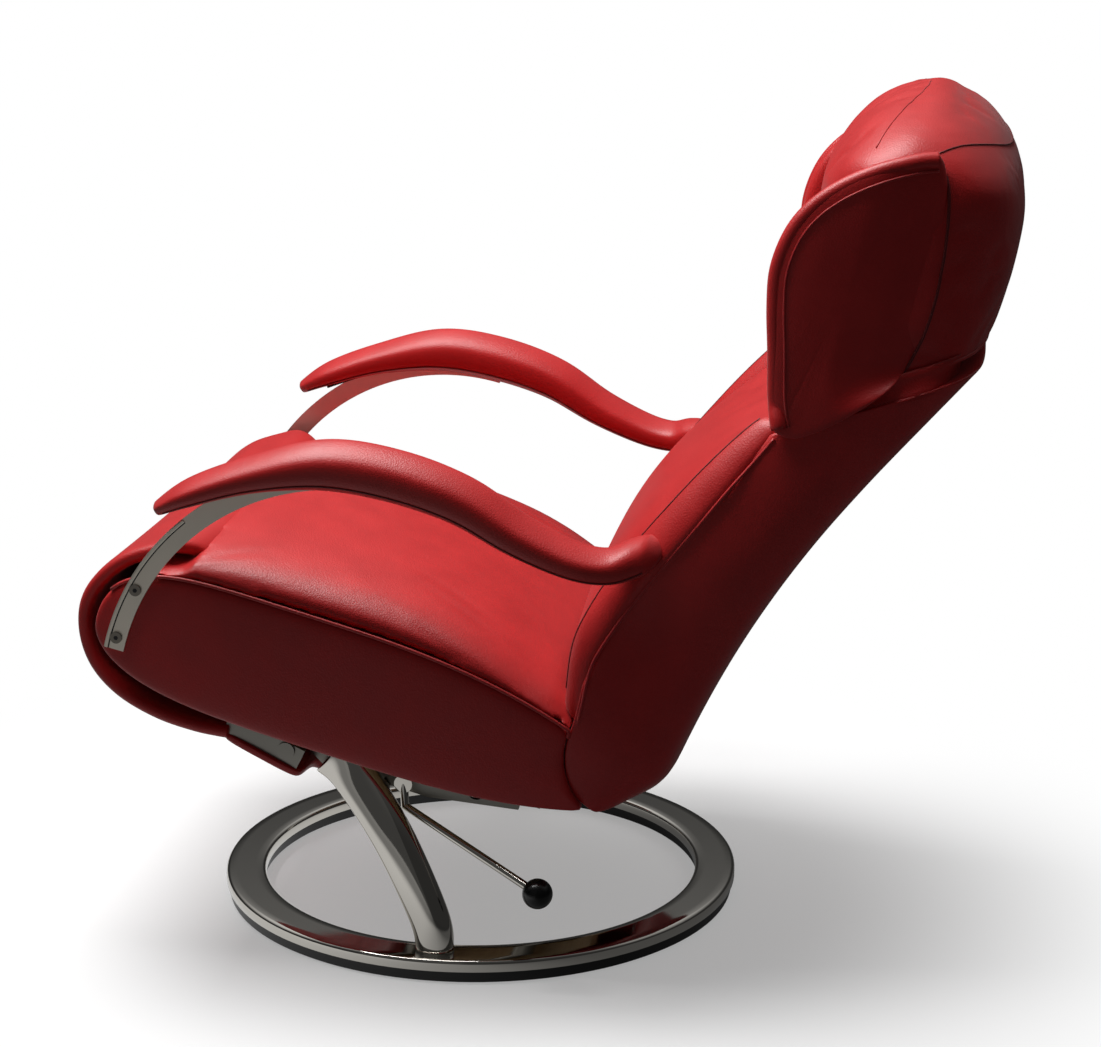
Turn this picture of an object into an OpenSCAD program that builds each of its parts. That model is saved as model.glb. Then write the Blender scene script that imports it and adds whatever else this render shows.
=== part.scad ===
// Swivel lounge recliner: leather seat, winged headrest and floating arms on a chrome ring
// Chair front is -Y, the sitter's left is +X, the floor is Z = 0 at the ring's centre

/* [Ring base] */
// Outer diameter of the chrome ring
ring_d = 660; // [620:5:700]
// Width of the ring's band
ring_band = 51; // [44:1:60]
// Thickness of the chrome ring
ring_t = 15; // [14:1:20]
// Thickness of the black floor ring
floor_ring_t = 12.4; // [11:0.1:18]
// Thickness of the rubber tread under the floor ring
tread_t = 2.5; // [2:0.5:4]
// Diameter of the swivel bearing's balls
ball_d = 8; // [6:1:10]
// Number of bearing balls
ball_n = 24; // [12:1:36]
// Width of a leg at its top, seen from the side
leg_top_w = 60; // [50:1:66]
// Width of a leg at its foot, seen from the side
leg_foot_w = 46; // [38:1:50]
// Thickness of a leg across the chair
leg_t = 30; // [24:1:34]

/* [Seat] */
// Tilt of the seat, rear end down
seat_tilt = 15.5; // [12:0.5:18]
// Height of the seat frame's reference point above the floor
seat_z = 350; // [345:1:380]
// Width over the seat's side panels
seat_w = 650; // [630:2:670]
// Thickness of a padded side panel
panel_t = 28; // [22:1:32]
// Height of the side panel's top edge above the reference line
panel_top = 82; // [74:1:90]
// Depth of the side panel's bottom edge below the reference line
panel_bottom = 77; // [72:1:84]
// Rise of the seat cushion's crown above the side seam
seat_crown = 52; // [36:1:60]
// Thickness of the front flap
flap_t = 20; // [14:1:24]
// Thickness of the plywood seat pan
pan_t = 14; // [10:1:18]

/* [Back] */
// Lean of the back from upright, as photographed
back_lean = 40; // [36:1:44]
// Radius of the round foot of the back about the recline axis
knuckle_r = 89; // [80:1:92]
// Inset of the back's side at arm height from the seat's side
back_inset = 29; // [28:1:39]
// Width of the side bolsters
bolster_w = 34; // [28:1:40]
// Thickness of the rear wall
rear_t = 20; // [14:1:26]
// Rise of the back cushion's crown in front of the bolsters
back_crown = 46; // [34:1:54]

/* [Headrest] */
// Lean of the headrest from upright, as photographed
head_lean = 13; // [9:1:17]
// Height of the headrest's top above its tilt axis
head_h = 340; // [320:1:350]
// Thickness of a wing
wing_t = 36; // [28:1:40]
// Free gap between headrest and back
head_gap = 21; // [19:1:26]

/* [Arms] */
// Width of an arm pad
arm_w = 76; // [66:1:84]
// Radius of the bar that carries the front of an arm
bar_r = 283; // [278:1:288]
// Width of that flat bar
bar_w = 24; // [18:1:26]
// Thickness of that flat bar
bar_t = 5; // [4:0.5:6]
// Free gap on each side of the bar in the arm's slot
slot_gap = 1.5; // [1:0.25:3]

/* [Footrest and lever] */
// Thickness of the footrest's board
board_t = 10; // [8:1:12]
// Thickness of the footrest's leather pad
pad_t = 16; // [12:1:18]
// Thickness of a footrest arm
link_t = 7; // [5:0.5:8]
// Diameter of the release lever's rod
rod_d = 10; // [8:0.5:12]
// Diameter of the lever's ball knob
knob_d = 36; // [30:1:42]

/* [Fits] */
// Radial clearance of pins in their bores
fit = 0.06; // [0.03:0.01:0.1]
// Gap between pieces that lie on each other
seat_gap = 0.3; // [0.2:0.05:0.5]

/* [Hidden] */
$fn = 48;
leather = "firebrick";
steel = "slategray";
chrome = "gainsboro";
black = "dimgray";
ply = "burlywood";

// Ring base heights and radii
ring_ro = ring_d / 2;
ring_rm = ring_ro - ring_band / 2;
race_gap = 0.6;
floor_top = tread_t + floor_ring_t;
ring_z = floor_top + race_gap;
ring_top = ring_z + ring_t;
floor_inset = 4;
edge_r = 5;

// Seat frame: v runs rearwards along the seat, w stands square on it
seat_y = -100;
function seat_pt(v, w) = [
  seat_y + v * cos(seat_tilt) + w * sin(seat_tilt),
  seat_z - v * sin(seat_tilt) + w * cos(seat_tilt)];
half_w = seat_w / 2;
panel_in = half_w - panel_t;
inner_hw = panel_in - 17;
pan_w0 = 1 - panel_bottom;
pan_top = pan_w0 + pan_t;
front_v = -310;
pan_v0 = -250;
pan_v1 = 252;
flap_v = -222;
cushion_w0 = 24;
seam_gap = 0.8;
rear_clear = 62;
web_t = 3;

// Recline axis in the seat frame, and the arc that the seat's rear end clears
hip_v = 352;
hip_w = 33;
hip = seat_pt(hip_v, hip_w);
clear_r = knuckle_r + 2.5;
arc_top = 173;
arc_low = 239;
hinge_r = 22;
pin_r = 6;

// Rails, legs and cross tubes
rail_t = 6;
rail_x = 228;
rail_v0 = -45;
rail_v1 = 225;
rail_w1 = -126;
tube_r = 14;
tube_w = pan_w0 - tube_r - 9;
front_tube_v = -10;
rear_tube_v = 170;

// Back frame: origin on the recline axis, local z up the back, local y towards its rear
back_hw = half_w - back_inset;
pin_span = 47;
block_hw = panel_in - pin_span;
arm_plate_t = 7;
cheek_in = panel_in + 3;
cheek_out = half_w - 7;
shell_b0 = 30;
head_b = 470;
head_y = -104.5;
back_front_b = 386;
back_rear_b = 591;
function front_y(b) = -(110 + 32 * (1 - exp(-b / 75)) + 0.02 * max(0, b - 250));
function rear_y(b) = -16 + 61 * pow(max(0, 380 - b) / 391, 2) + 0.03 * max(0, b - 430);
function back_half(b) = back_hw + (b < 150 ? 26 * pow((150 - b) / 240, 2) : -(b - 150) / 35);
function back_pt(y, b) = [
  hip[0] + y * cos(back_lean) + b * sin(back_lean),
  hip[1] - y * sin(back_lean) + b * cos(back_lean)];

// Arm pivot in the back frame, and its place at rest
pivot_b = 187;
pivot_y = front_y(pivot_b) - 22;
arm_p = back_pt(pivot_y, pivot_b);
arm_in = back_hw + 7;
arm_x = arm_in + arm_w / 2;
lug_t = 5;
lug_x = back_half(pivot_b - 14) + seat_gap;

// Arm bar: an arc about a centre inside the seat
bar_front = seat_y - 283.26;
bar_peak = seat_z + 263.4;
bar_c = [bar_front + bar_r, bar_peak - bar_r];
bar_a0 = 75;
bar_a1 = 166;
bar_x = half_w + seat_gap;
screw_a = [163, 150];
screw_r = 4;

// Head frame: origin on the tilt axis, local z up, local y rearwards
head_p = back_pt(head_y, head_b);
head_slope = atan2(123, 212.5);
wing_x1 = back_hw + 5;
wing_x0 = wing_x1 - wing_t;
lobe_x0 = back_hw - 4;

// Footrest: tilt axis in the seat frame, and the line of its board
foot_v = -265;
foot_w = -25;
link_x = panel_in - 4 - link_t;
board_v0 = -146;
board_v1 = 4;
board_w0 = -130;
board_tilt = 11.5;
board_wide = link_x + link_t - 1;
board_narrow = 208;
board_step = -66;

// Lever: a bent rod that turns in a pivot on the left rail
lever_v = 85;
lever_w = -110;
lever_c = seat_pt(lever_v, lever_w);
pivot_len = 12;
lever_x = rail_x + rail_t / 2 + pivot_len + rod_d / 2 + 1;
knee = [lever_x + 4, lever_c[0] + 2, lever_c[1] - 28];
knob_c = [332, 128, 124];

// Small functions for smooth outlines and lofts
function lerp(a, b, t) = a + (b - a) * t;
function spow(x, e) = sign(x) * pow(abs(x), e);
function catmull(a, b, c, d, t) =
  0.5 * (2 * b + (c - a) * t + (2 * a - 5 * b + 4 * c - d) * t * t
  + (3 * b - a - 3 * c + d) * t * t * t);
function smooth(p, n) = concat(
  [for (i = [0:len(p) - 2], k = [0:n - 1])
    catmull(p[max(0, i - 1)], p[i], p[i + 1], p[min(len(p) - 1, i + 2)], k / n)],
  [p[len(p) - 1]]);
function normal(p, i) = let (
  d = p[min(len(p) - 1, i + 1)] - p[max(0, i - 1)],
  l = norm([d[0], d[1]])) [-d[1] / l, d[0] / l];
function oval(hx, hy, n, e) =
  [for (i = [0:n - 1]) [hx * spow(cos(360 * i / n), e), hy * spow(sin(360 * i / n), e)]];
function reversed(p) = [for (i = [len(p) - 1:-1:0]) p[i]];

// A closed solid through rings of points, all rings with the same count, faces turned outwards;
// the end faces of a hollow section are given as pieces without inward corners
function fan(p, f) = [for (k = [1:len(f) - 2]) p[f[0]] * cross(p[f[k]], p[f[k + 1]])];
module loft(rings, ends = undef) {
  n = len(rings[0]);
  m = len(rings);
  points = [for (r = rings, p = r) p];
  end_faces = is_undef(ends) ? [[for (i = [0:n - 1]) i]] : ends;
  faces = concat(
    end_faces,
    [for (j = [0:m - 2], i = [0:n - 1]) [j * n + i, (j + 1) * n + i, (j + 1) * n + (i + 1) % n]],
    [for (j = [0:m - 2], i = [0:n - 1]) [j * n + i, (j + 1) * n + (i + 1) % n, j * n + (i + 1) % n]],
    [for (f = end_faces) [for (i = reversed(f)) (m - 1) * n + i]]);
  parts = [for (f = faces, c = fan(points, f)) c];
  inside_out = parts * [for (c = parts) 1] > 0;
  polyhedron(points = points, faces = inside_out ? [for (f = faces) reversed(f)] : faces, convexity = 6);
}

// Frames of the moving groups, and a side outline stretched across the chair
module in_seat() translate([0, seat_y, seat_z]) rotate([-seat_tilt, 0, 0]) children();
module in_back() translate([0, hip[0], hip[1]]) rotate([-back_lean, 0, 0]) children();
module in_head() translate([0, head_p[0], head_p[1]]) rotate([-head_lean, 0, 0]) children();
module across(x0, x1) translate([x0, 0, 0]) rotate([90, 0, 90]) linear_extrude(x1 - x0) children();
module rod_x(x0, x1, y, z, r) translate([x0, y, z]) rotate([0, 90, 0]) cylinder(h = x1 - x0, r = r);
module both_sides() {
  children();
  mirror([1, 0, 0]) children();
}

// Ring base
module rubber_tread() {
  color(black)
  rotate_extrude($fn = 96)
    translate([ring_rm - ring_band / 2 + 2 * floor_inset, 0])
      square([ring_band - 4 * floor_inset, tread_t]);
}

module race() {
  translate([ring_rm, floor_top + race_gap / 2]) circle(r = ball_d / 2 + fit);
}

module floor_ring() {
  color(black)
  rotate_extrude($fn = 96)
    difference() {
      translate([ring_rm - ring_band / 2 + floor_inset, tread_t])
        square([ring_band - 2 * floor_inset, floor_ring_t]);
      race();
    }
}

module bearing_balls() {
  color(steel)
  for (i = [0:ball_n - 1])
    rotate([0, 0, 360 * i / ball_n])
      translate([ring_rm, 0, floor_top + race_gap / 2])
        sphere(d = ball_d);
}

module swivel_ring() {
  color(chrome)
  rotate_extrude($fn = 96)
    difference() {
      translate([ring_rm, ring_z])
        union() {
          translate([-ring_band / 2, 0]) square([ring_band, ring_t - edge_r]);
          translate([edge_r - ring_band / 2, 0]) square([ring_band - 2 * edge_r, ring_t]);
          translate([edge_r - ring_band / 2, ring_t - edge_r]) circle(r = edge_r);
          translate([ring_band / 2 - edge_r, ring_t - edge_r]) circle(r = edge_r);
        }
      race();
    }
}

// A leg rises from the ring and sweeps forward to the rail, wider towards its top
module leg() {
  top = seat_pt(-8, rail_w1 + 24);
  top_x = rail_x + rail_t / 2 + leg_t / 2 + seat_gap;
  path = smooth([
    [ring_rm - 8, -2, ring_top + seat_gap], [ring_rm - 12, -10, ring_top + 40],
    [lerp(ring_rm, top_x, 0.5), lerp(-2, top[0], 0.42), lerp(ring_top, top[1], 0.58)],
    [top_x + 4, lerp(-2, top[0], 0.8), lerp(ring_top, top[1], 0.86)],
    [top_x, top[0], top[1]]], 5);
  n = len(path) - 1;
  loft([for (i = [0:n])
    let (
      d = path[min(n, i + 1)] - path[max(0, i - 1)],
      k = i / n,
      tilt = i == 0 ? 0 : atan2(-d[1], d[2]),
      w = lerp(leg_foot_w, leg_top_w, k))
    [for (p = oval(leg_t / 2, w / 2, 24, 0.9))
      path[i] + [p[0], p[1] * cos(tilt), p[1] * sin(tilt)]]]);
}
module left_leg() color(chrome) leg();
module right_leg() color(chrome) mirror([1, 0, 0]) leg();

// Chassis under the seat
module rail() {
  in_seat()
    difference() {
      across(rail_x - rail_t / 2, rail_x + rail_t / 2)
        polygon([
          [rail_v0, pan_w0], [rail_v0, rail_w1 + 16], [rail_v0 + 26, rail_w1],
          [lever_v + 30, rail_w1], [rail_v1, -106], [rail_v1, pan_w0]]);
      for (v = [front_tube_v, rear_tube_v])
        rod_x(rail_x - rail_t, rail_x + rail_t, v, tube_w, tube_r + fit);
    }
}
module left_rail() {
  color(steel)
  difference() {
    rail();
    rod_x(rail_x - rail_t, rail_x + rail_t, lever_c[0], lever_c[1], pin_r + fit);
  }
}
module right_rail() color(steel) mirror([1, 0, 0]) rail();

module cross_tube(v) {
  color(steel)
  in_seat()
    difference() {
      rod_x(-rail_x - rail_t / 2, rail_x + rail_t / 2, v, tube_w, tube_r);
      rod_x(-rail_x - rail_t, rail_x + rail_t, v, tube_w, tube_r - 2.5);
    }
}
module front_cross_tube() cross_tube(front_tube_v);
module rear_cross_tube() cross_tube(rear_tube_v);

// Seat box
module seat_pan() {
  color(ply)
  in_seat()
    translate([-inner_hw, pan_v0, pan_w0 + seat_gap])
      cube([2 * inner_hw, pan_v1 - pan_v0, pan_t - seat_gap]);
}
module seat_cleats() {
  color(ply)
  in_seat()
    both_sides()
      translate([inner_hw, -60, pan_w0 + 2])
        cube([panel_in - inner_hw, 240, pan_t + 26]);
}
module seat_front_rail() {
  ear_x = panel_in - seat_gap;
  color(ply)
  in_seat()
    translate([0, front_v + 24, 0])
      rotate([90, 0, 180])
        linear_extrude(16)
          polygon([
            [-inner_hw, pan_w0 + 34], [inner_hw, pan_w0 + 34], [inner_hw, 2], [ear_x, 2], [ear_x, 42],
            [-ear_x, 42], [-ear_x, 2], [-inner_hw, 2]]);
}
module seat_webbing() {
  color(black)
  in_seat()
    for (v = [-190:80:130])
      translate([-panel_in, v - 30, cushion_w0 - web_t])
        cube([2 * panel_in, 60, web_t - seat_gap]);
}

// Side panel outline: a long rounded shield whose rear end is hollow about the recline axis
arc_end = [hip_v + clear_r * cos(arc_top), hip_w + clear_r * sin(arc_top)];
low_end = [hip_v + clear_r * cos(arc_low), hip_w + clear_r * sin(arc_low)];
function top_w(v) = v < -50
  ? panel_top * pow(max(0, 1 - pow((v + 50) / (front_v + 50), 5.2)), 0.45)
  : panel_top - (panel_top - arc_end[1]) * pow((v + 50) / (arc_end[0] + 50), 2.6);
function low_w(v) = v < 0
  ? -panel_bottom * sqrt(max(0, 1 - pow(v / front_v, 4)))
  : -panel_bottom + (low_end[1] + panel_bottom) * pow(v / low_end[0], 3);
front_steps = [front_v, -309, -306, -301, -294, -284, -268, -244, -205, -150, -50];
panel_outline = concat(
  [for (v = front_steps) [v, top_w(v)]],
  [for (k = [1:8]) let (v = lerp(-50, arc_end[0], k / 8)) [v, top_w(v)]],
  [for (k = [1:7]) let (a = lerp(arc_top, arc_low, k / 8))
    [hip_v + clear_r * cos(a), hip_w + clear_r * sin(a)]],
  [for (k = [8:-1:0]) let (v = low_end[0] * k / 8) [v, low_w(v)]],
  [for (i = [len(front_steps) - 2:-1:1]) let (v = front_steps[i]) [v, low_w(v)]]);
panel_soft = 5;
function drawn_in(p, e) = [for (q = p)
  let (on_arc = norm(q - [hip_v, hip_w]) < clear_r + 1)
  [q[0] < -200 ? q[0] + e * (-200 - q[0]) / 110 : q[0], on_arc ? q[1] : q[1] - sign(q[1]) * e]];

module side_panel() {
  in_seat()
    loft([for (s = [[0, 1], [0.25, 0.3], [0.75, 0.3], [1, 1]])
      [for (p = drawn_in(panel_outline, panel_soft * s[1])) [panel_in + panel_t * s[0], p[0], p[1]]]]);
}
module left_side_panel() color(leather) side_panel();
module right_side_panel() color(leather) mirror([1, 0, 0]) side_panel();

// Seat cushion: crowned, drawn in at its waist and rounded down at the rear
module seat_cushion() {
  n = 16;
  steps = 14;
  core_x = panel_in - 9;
  rear_r = clear_r + rear_clear;
  color(leather)
  in_seat()
    loft([for (k = [0:steps])
      let (
        q = k / steps,
        v1 = lerp(flap_v + 5, hip_v - rear_r, q),
        s = top_w(v1) + seam_gap,
        fall = pow(max(0, (q - 0.72) / 0.28), 2.2),
        rise = seat_crown * (1 - 0.45 * fall) * (0.84 + 0.16 * sin(180 * q)),
        hx = half_w - 3 - 5 * sin(180 * q),
        section = concat(
          [[core_x, cushion_w0], [core_x, s]],
          [for (i = [0:n]) let (a = 180 * i / n)
            [hx * spow(cos(a), 0.62), s + rise * pow(sin(a), 0.72)]],
          [[-core_x, s], [-core_x, cushion_w0]]))
      [for (p = section)
        let (hollow = rear_r - sqrt(rear_r * rear_r - pow(p[1] - hip_w, 2)))
        [p[0], v1 + hollow * q * q, p[1]]]],
      ends = concat(
        [[0, 1, n + 3, n + 4], [1, 2, 3, n + 1, n + 2, n + 3]],
        [for (i = [3:n / 2]) [i, i + 1, n + 3 - i, n + 4 - i]],
        [[n / 2 + 1, n / 2 + 2, n / 2 + 3]]));
}

// Front flap: a padded leather sheet that hangs round the nose of the seat
flap_line = smooth([
  [flap_v, 112], [-262, 95], [-298, 70], [-322, 36], [-331, 2], [-322, -36], [-299, -68],
  [-262, -90], [-214, -101], [-172, -101], [-150, -97]], 3);
flap_hw = half_w - 13;
module front_flap() {
  n = len(flap_line) - 1;
  h = flap_t / 2;
  outer = [for (i = [0:n]) flap_line[i] + h * normal(flap_line, i)];
  inner = [for (i = [n:-1:0]) flap_line[i] - h * normal(flap_line, i)];
  outline = concat(outer, inner);
  mid = concat(flap_line, reversed(flap_line));
  color(leather)
  in_seat()
    loft([for (s = [[-1, 0.5], [-0.97, 1], [0.97, 1], [1, 0.5]])
      [for (i = [0:len(outline) - 1]) let (p = lerp(mid[i], outline[i], s[1]))
        [s[0] * flap_hw, p[0], p[1]]]],
      ends = [for (i = [0:n - 1]) [i, i + 1, 2 * n - i, 2 * n + 1 - i]]);
}

// Flat bars that carry the arms, with their screws
module arm_bar() {
  translate([bar_x, bar_c[0], bar_c[1]])
    rotate([90, 0, 90])
      difference() {
        rotate([0, 0, bar_a0])
          rotate_extrude(angle = bar_a1 - bar_a0, $fn = 96)
            translate([bar_r - bar_w / 2, 0])
              square([bar_w, bar_t]);
        for (a = screw_a)
          rotate([0, 0, a])
            translate([bar_r, 0, -1])
              cylinder(h = bar_t + 2, r = screw_r);
      }
}
module left_arm_bar() color(steel) arm_bar();
module right_arm_bar() color(steel) mirror([1, 0, 0]) arm_bar();
module arm_bar_screws() {
  color(chrome)
  both_sides()
    translate([bar_x, bar_c[0], bar_c[1]])
      rotate([90, 0, 90])
        for (a = screw_a)
          rotate([0, 0, a])
            translate([bar_r, 0, 0]) {
              cylinder(h = bar_t + 1, r = screw_r - fit);
              translate([0, 0, bar_t]) cylinder(h = 2.2, r = screw_r + 3);
            }
}

// Recline hinge: plates on the seat, pins, and plates on the back's lower rail
module hinge_plate() {
  x1 = panel_in - seat_gap;
  in_seat()
    difference() {
      across(x1 - 6, x1)
        polygon(concat(
          [[262, -34], [205, -40], [205, 42], [252, 46]],
          [for (a = [90:-15:-90]) [hip_v, hip_w] + hinge_r * [cos(a), sin(a)]]));
      rod_x(x1 - 10, x1 + 10, hip_v, hip_w, pin_r);
    }
}
module left_hinge_plate() color(steel) hinge_plate();
module right_hinge_plate() color(steel) mirror([1, 0, 0]) hinge_plate();
module recline_pins() {
  color(chrome)
  in_seat()
    both_sides()
      rod_x(block_hw + seat_gap, panel_in - seat_gap, hip_v, hip_w, pin_r);
}
module back_hinge_arms() {
  color(steel)
  in_back()
    both_sides()
      difference() {
        across(block_hw, block_hw + arm_plate_t)
          union() {
            circle(r = hinge_r);
            polygon([[-hinge_r, 0], [hinge_r, 0], [16, -52], [-44, -52]]);
          }
        rod_x(block_hw - 1, block_hw + arm_plate_t + 1, 0, 0, pin_r + fit);
      }
}

// Lower end of the back: round about the recline axis in front, rounded behind
foot_outline = concat(
  [[front_y(shell_b0) + 6, shell_b0 - seat_gap]],
  [for (a = [180:6:264]) knuckle_r * [cos(a), sin(a)]],
  [for (a = [-84:12:0]) [-6 + 44 * cos(a), 12 + (knuckle_r + 13) * sin(a)]],
  [[rear_y(shell_b0), shell_b0 - seat_gap]]);
module back_lower_rail() {
  color(leather)
  in_back()
    difference() {
      across(-block_hw, block_hw) polygon(foot_outline);
      rod_x(-block_hw - 1, block_hw + 1, 0, 0, pin_r + 2);
    }
}
module back_cheeks() {
  color(leather)
  in_back()
    both_sides()
      across(cheek_in, cheek_out)
        polygon(foot_outline);
}

// Back shell: bolsters and rear wall in one U, cut off on the slant under the headrest
top_shift = head_gap / 2;
function shell_b(front, k) = front
  ? lerp(shell_b0, back_front_b - top_shift * 0.55, k)
  : lerp(shell_b0, back_rear_b - top_shift * 0.85, k);
module back_shell() {
  color(leather)
  in_back()
    loft([for (j = [0:12])
      let (
        k = j / 12,
        bf = shell_b(true, k),
        br = shell_b(false, k),
        yf = front_y(bf),
        yr = rear_y(br),
        hx = back_half(lerp(bf, br, 0.4)),
        ix = hx - bolster_w,
        slope = (br - bf) / (yr - yf),
        side = [
          [ix, yr - rear_t], [ix, yf + 8], [ix + 8, yf], [hx - 8, yf], [hx, yf + 10],
          [hx, lerp(yf, yr, 0.55)], [hx - 7, yr - 34], [hx - 26, yr - 9], [hx - 60, yr], [hx * 0.5, yr + 2]])
      concat(
        [for (p = side) [p[0], p[1], bf + (p[1] - yf) * slope]],
        [for (p = reversed(side)) [-p[0], p[1], bf + (p[1] - yf) * slope]])],
      ends = [[for (i = [0:7]) i], [0, 7, 8, 9, 10, 11, 12, 19], [for (i = [12:19]) i]]);
}
panel_b1 = 500;
panel_gap = 10;
module back_panel() {
  color(ply)
  in_back()
    loft([for (j = [0:8])
      let (
        b = lerp(shell_b0 + 4, panel_b1, j / 8),
        x = back_half(b) - bolster_w - 14,
        y = rear_y(b) - rear_t - panel_gap)
      [[x, y, b], [x, y - panel_gap, b], [-x, y - panel_gap, b], [-x, y, b]]]);
}

// Back cushion: crowned between the bolsters, a lip below, slanted under the headrest
top_slope = (back_rear_b - back_front_b) / (rear_y(back_rear_b) - front_y(back_front_b));
lip_y = front_y(shell_b0) + 3;
cushion_b1 = back_front_b - 14;
cushion_rings = concat(
  [for (b = [-4, 6, 18, shell_b0 + 0.2]) [b, 0, lip_y + 1]],
  [for (j = [0:12]) let (
    k = j / 12,
    b = lerp(shell_b0 + 1.2, cushion_b1, k),
    slope = top_slope * k * k)
    [b, slope, rear_y(b + 95 * slope) - rear_t - 2 * panel_gap - 3]]);
module back_cushion() {
  n = 14;
  last = len(cushion_rings) - 1;
  color(leather)
  in_back()
    difference() {
      loft([for (j = [0:last])
        let (
          ring = cushion_rings[j],
          k = (ring[0] + 4) / (cushion_b1 + 4),
          ys = min(front_y(ring[0]) + 6, lip_y),
          hx = back_half(ring[0] + 40 * ring[1]) - bolster_w - 7,
          crown = (back_crown + 6) * sqrt(max(0, 1 - pow(2 * k - 1, 2) * 0.86)),
          section = concat(
            [[hx - 6, ring[2]], [hx - 6, ys + 0.4]],
            [for (i = [0:n]) let (a = 180 * i / n)
              [(hx - 3 * sin(180 * k)) * spow(cos(a), 0.6), ys - crown * pow(sin(a), 0.75)]],
            [[6 - hx, ys + 0.4], [6 - hx, ring[2]]]))
        [for (p = section) [p[0], p[1], ring[0] + (p[1] - ys) * ring[1]]]]);
      both_sides()
        translate([bracket_x - 1, head_y - hinge_eye - 4, bracket_b - 4])
          cube([bracket_t + 2, 80, 240]);
    }
}

// Arm pivots on the back
module arm_lugs() {
  color(steel)
  in_back()
    both_sides()
      difference() {
        across(lug_x, lug_x + lug_t)
          union() {
            translate([pivot_y, pivot_b]) circle(r = 14);
            polygon([
              [pivot_y, pivot_b - 14], [pivot_y + 52, pivot_b - 14],
              [pivot_y + 52, pivot_b + 14], [pivot_y, pivot_b + 14]]);
          }
        rod_x(lug_x - 1, lug_x + lug_t + 1, pivot_y, pivot_b, pin_r);
      }
}
module arm_pivot_pins() {
  color(chrome)
  in_back()
    both_sides()
      rod_x(lug_x, arm_in + 34, pivot_y, pivot_b, pin_r);
}

// Arm pads: a swept oval that rises over the bar and dips to its pivot on the back
arm_line = [for (p = [
  [-556, 39, 8], [-513, 62, 16], [-441, 85, 21], [-357, 99, 29], [-277, 89, 30], [-201, 64, 28],
  [-137, 26, 24], [-77, -1, 21], [-14, -3, 20], [4, 0, 15]]) [arm_p[0] + p[0], arm_p[1] + p[1], p[2]]];
slot_top = 17;
module arm_pad() {
  line = smooth(arm_line, 3);
  n = len(line) - 1;
  difference() {
    loft([for (i = [0:n])
      let (
        d = normal(line, i),
        end = i == 0 ? 0.55 : i == 1 ? 0.82 : i == n ? 0.62 : i == n - 1 ? 0.84 : 1)
      [for (p = oval(arm_w / 2 * end, line[i][2], 18, 0.72))
        [arm_x + p[0], line[i][0] + d[0] * p[1], line[i][1] + d[1] * p[1]]]]);
    across(bar_x - slot_gap, bar_x + bar_t + slot_gap)
      polygon(concat(
        [[line[0][0] - 20, line[0][1] - 90], [line[0][0] - 20, line[0][1]]],
        [for (i = [1:17]) [line[i][0], line[i][1] + max(1.5, min(slot_top, line[i][2] - 6))]],
        [[line[17][0], line[17][1] - 90]]));
    rod_x(arm_in - 1, arm_in + 40, arm_p[0], arm_p[1], pin_r + fit);
    translate([bar_x + bar_t / 2 - guide_w / 2, line[4][0] - guide_l / 2, line[4][1] - line[4][2] - 8])
      rotate([guide_tilt, 0, 0])
        cube([guide_w, guide_l, guide_h]);
  }
}
guide_w = 22;
guide_l = 46;
guide_h = 14;
guide_tilt = 20;
module left_arm_pad() color(leather) arm_pad();
module right_arm_pad() color(leather) mirror([1, 0, 0]) arm_pad();

// Black guide that lines the mouth of the arm's slot
module bar_guide() {
  line = smooth(arm_line, 3);
  difference() {
    translate([bar_x + bar_t / 2 - guide_w / 2, line[4][0] - guide_l / 2, line[4][1] - line[4][2] - 8])
      rotate([guide_tilt, 0, 0])
        translate([seat_gap, seat_gap, 0])
          cube([guide_w - 2 * seat_gap, guide_l - 2 * seat_gap, guide_h - seat_gap]);
    across(bar_x - slot_gap, bar_x + bar_t + slot_gap)
      polygon([
        [line[2][0] - 30, line[2][1] - 90], [line[2][0] - 30, line[4][1] + 60],
        [line[8][0], line[4][1] + 60], [line[8][0], line[2][1] - 90]]);
  }
}
module left_bar_guide() color(black) bar_guide();
module right_bar_guide() color(black) mirror([1, 0, 0]) bar_guide();

// Headrest hinge
bracket_x = 150;
bracket_t = 6;
bracket_b = 330;
bracket_y = rear_y(380) - rear_t - 2 * panel_gap - 0.5;
hinge_eye = 10;
module head_brackets() {
  color(steel)
  in_back()
    both_sides()
      difference() {
        across(bracket_x, bracket_x + bracket_t)
          union() {
            translate([head_y, head_b]) circle(r = hinge_eye);
            polygon([
              [head_y - hinge_eye, head_b], [head_y + hinge_eye, head_b],
              [bracket_y, bracket_b + 70], [bracket_y, bracket_b], [bracket_y - 24, bracket_b]]);
          }
        rod_x(bracket_x - 1, bracket_x + bracket_t + 1, head_y, head_b, pin_r);
      }
}
module head_hinge_pin() {
  color(chrome)
  in_back()
    rod_x(-bracket_x - bracket_t, bracket_x + bracket_t, head_y, head_b, pin_r);
}
module head_hinge_plate() {
  color(steel)
  in_head()
    both_sides()
      difference() {
        across(bracket_x - 8, bracket_x - 1)
          union() {
            circle(r = hinge_eye);
            polygon([[-hinge_eye, 0], [hinge_eye, 0], [hinge_eye, 26], [-hinge_eye, 26]]);
          }
        rod_x(bracket_x - 10, bracket_x, 0, 0, pin_r + fit);
      }
}

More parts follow.
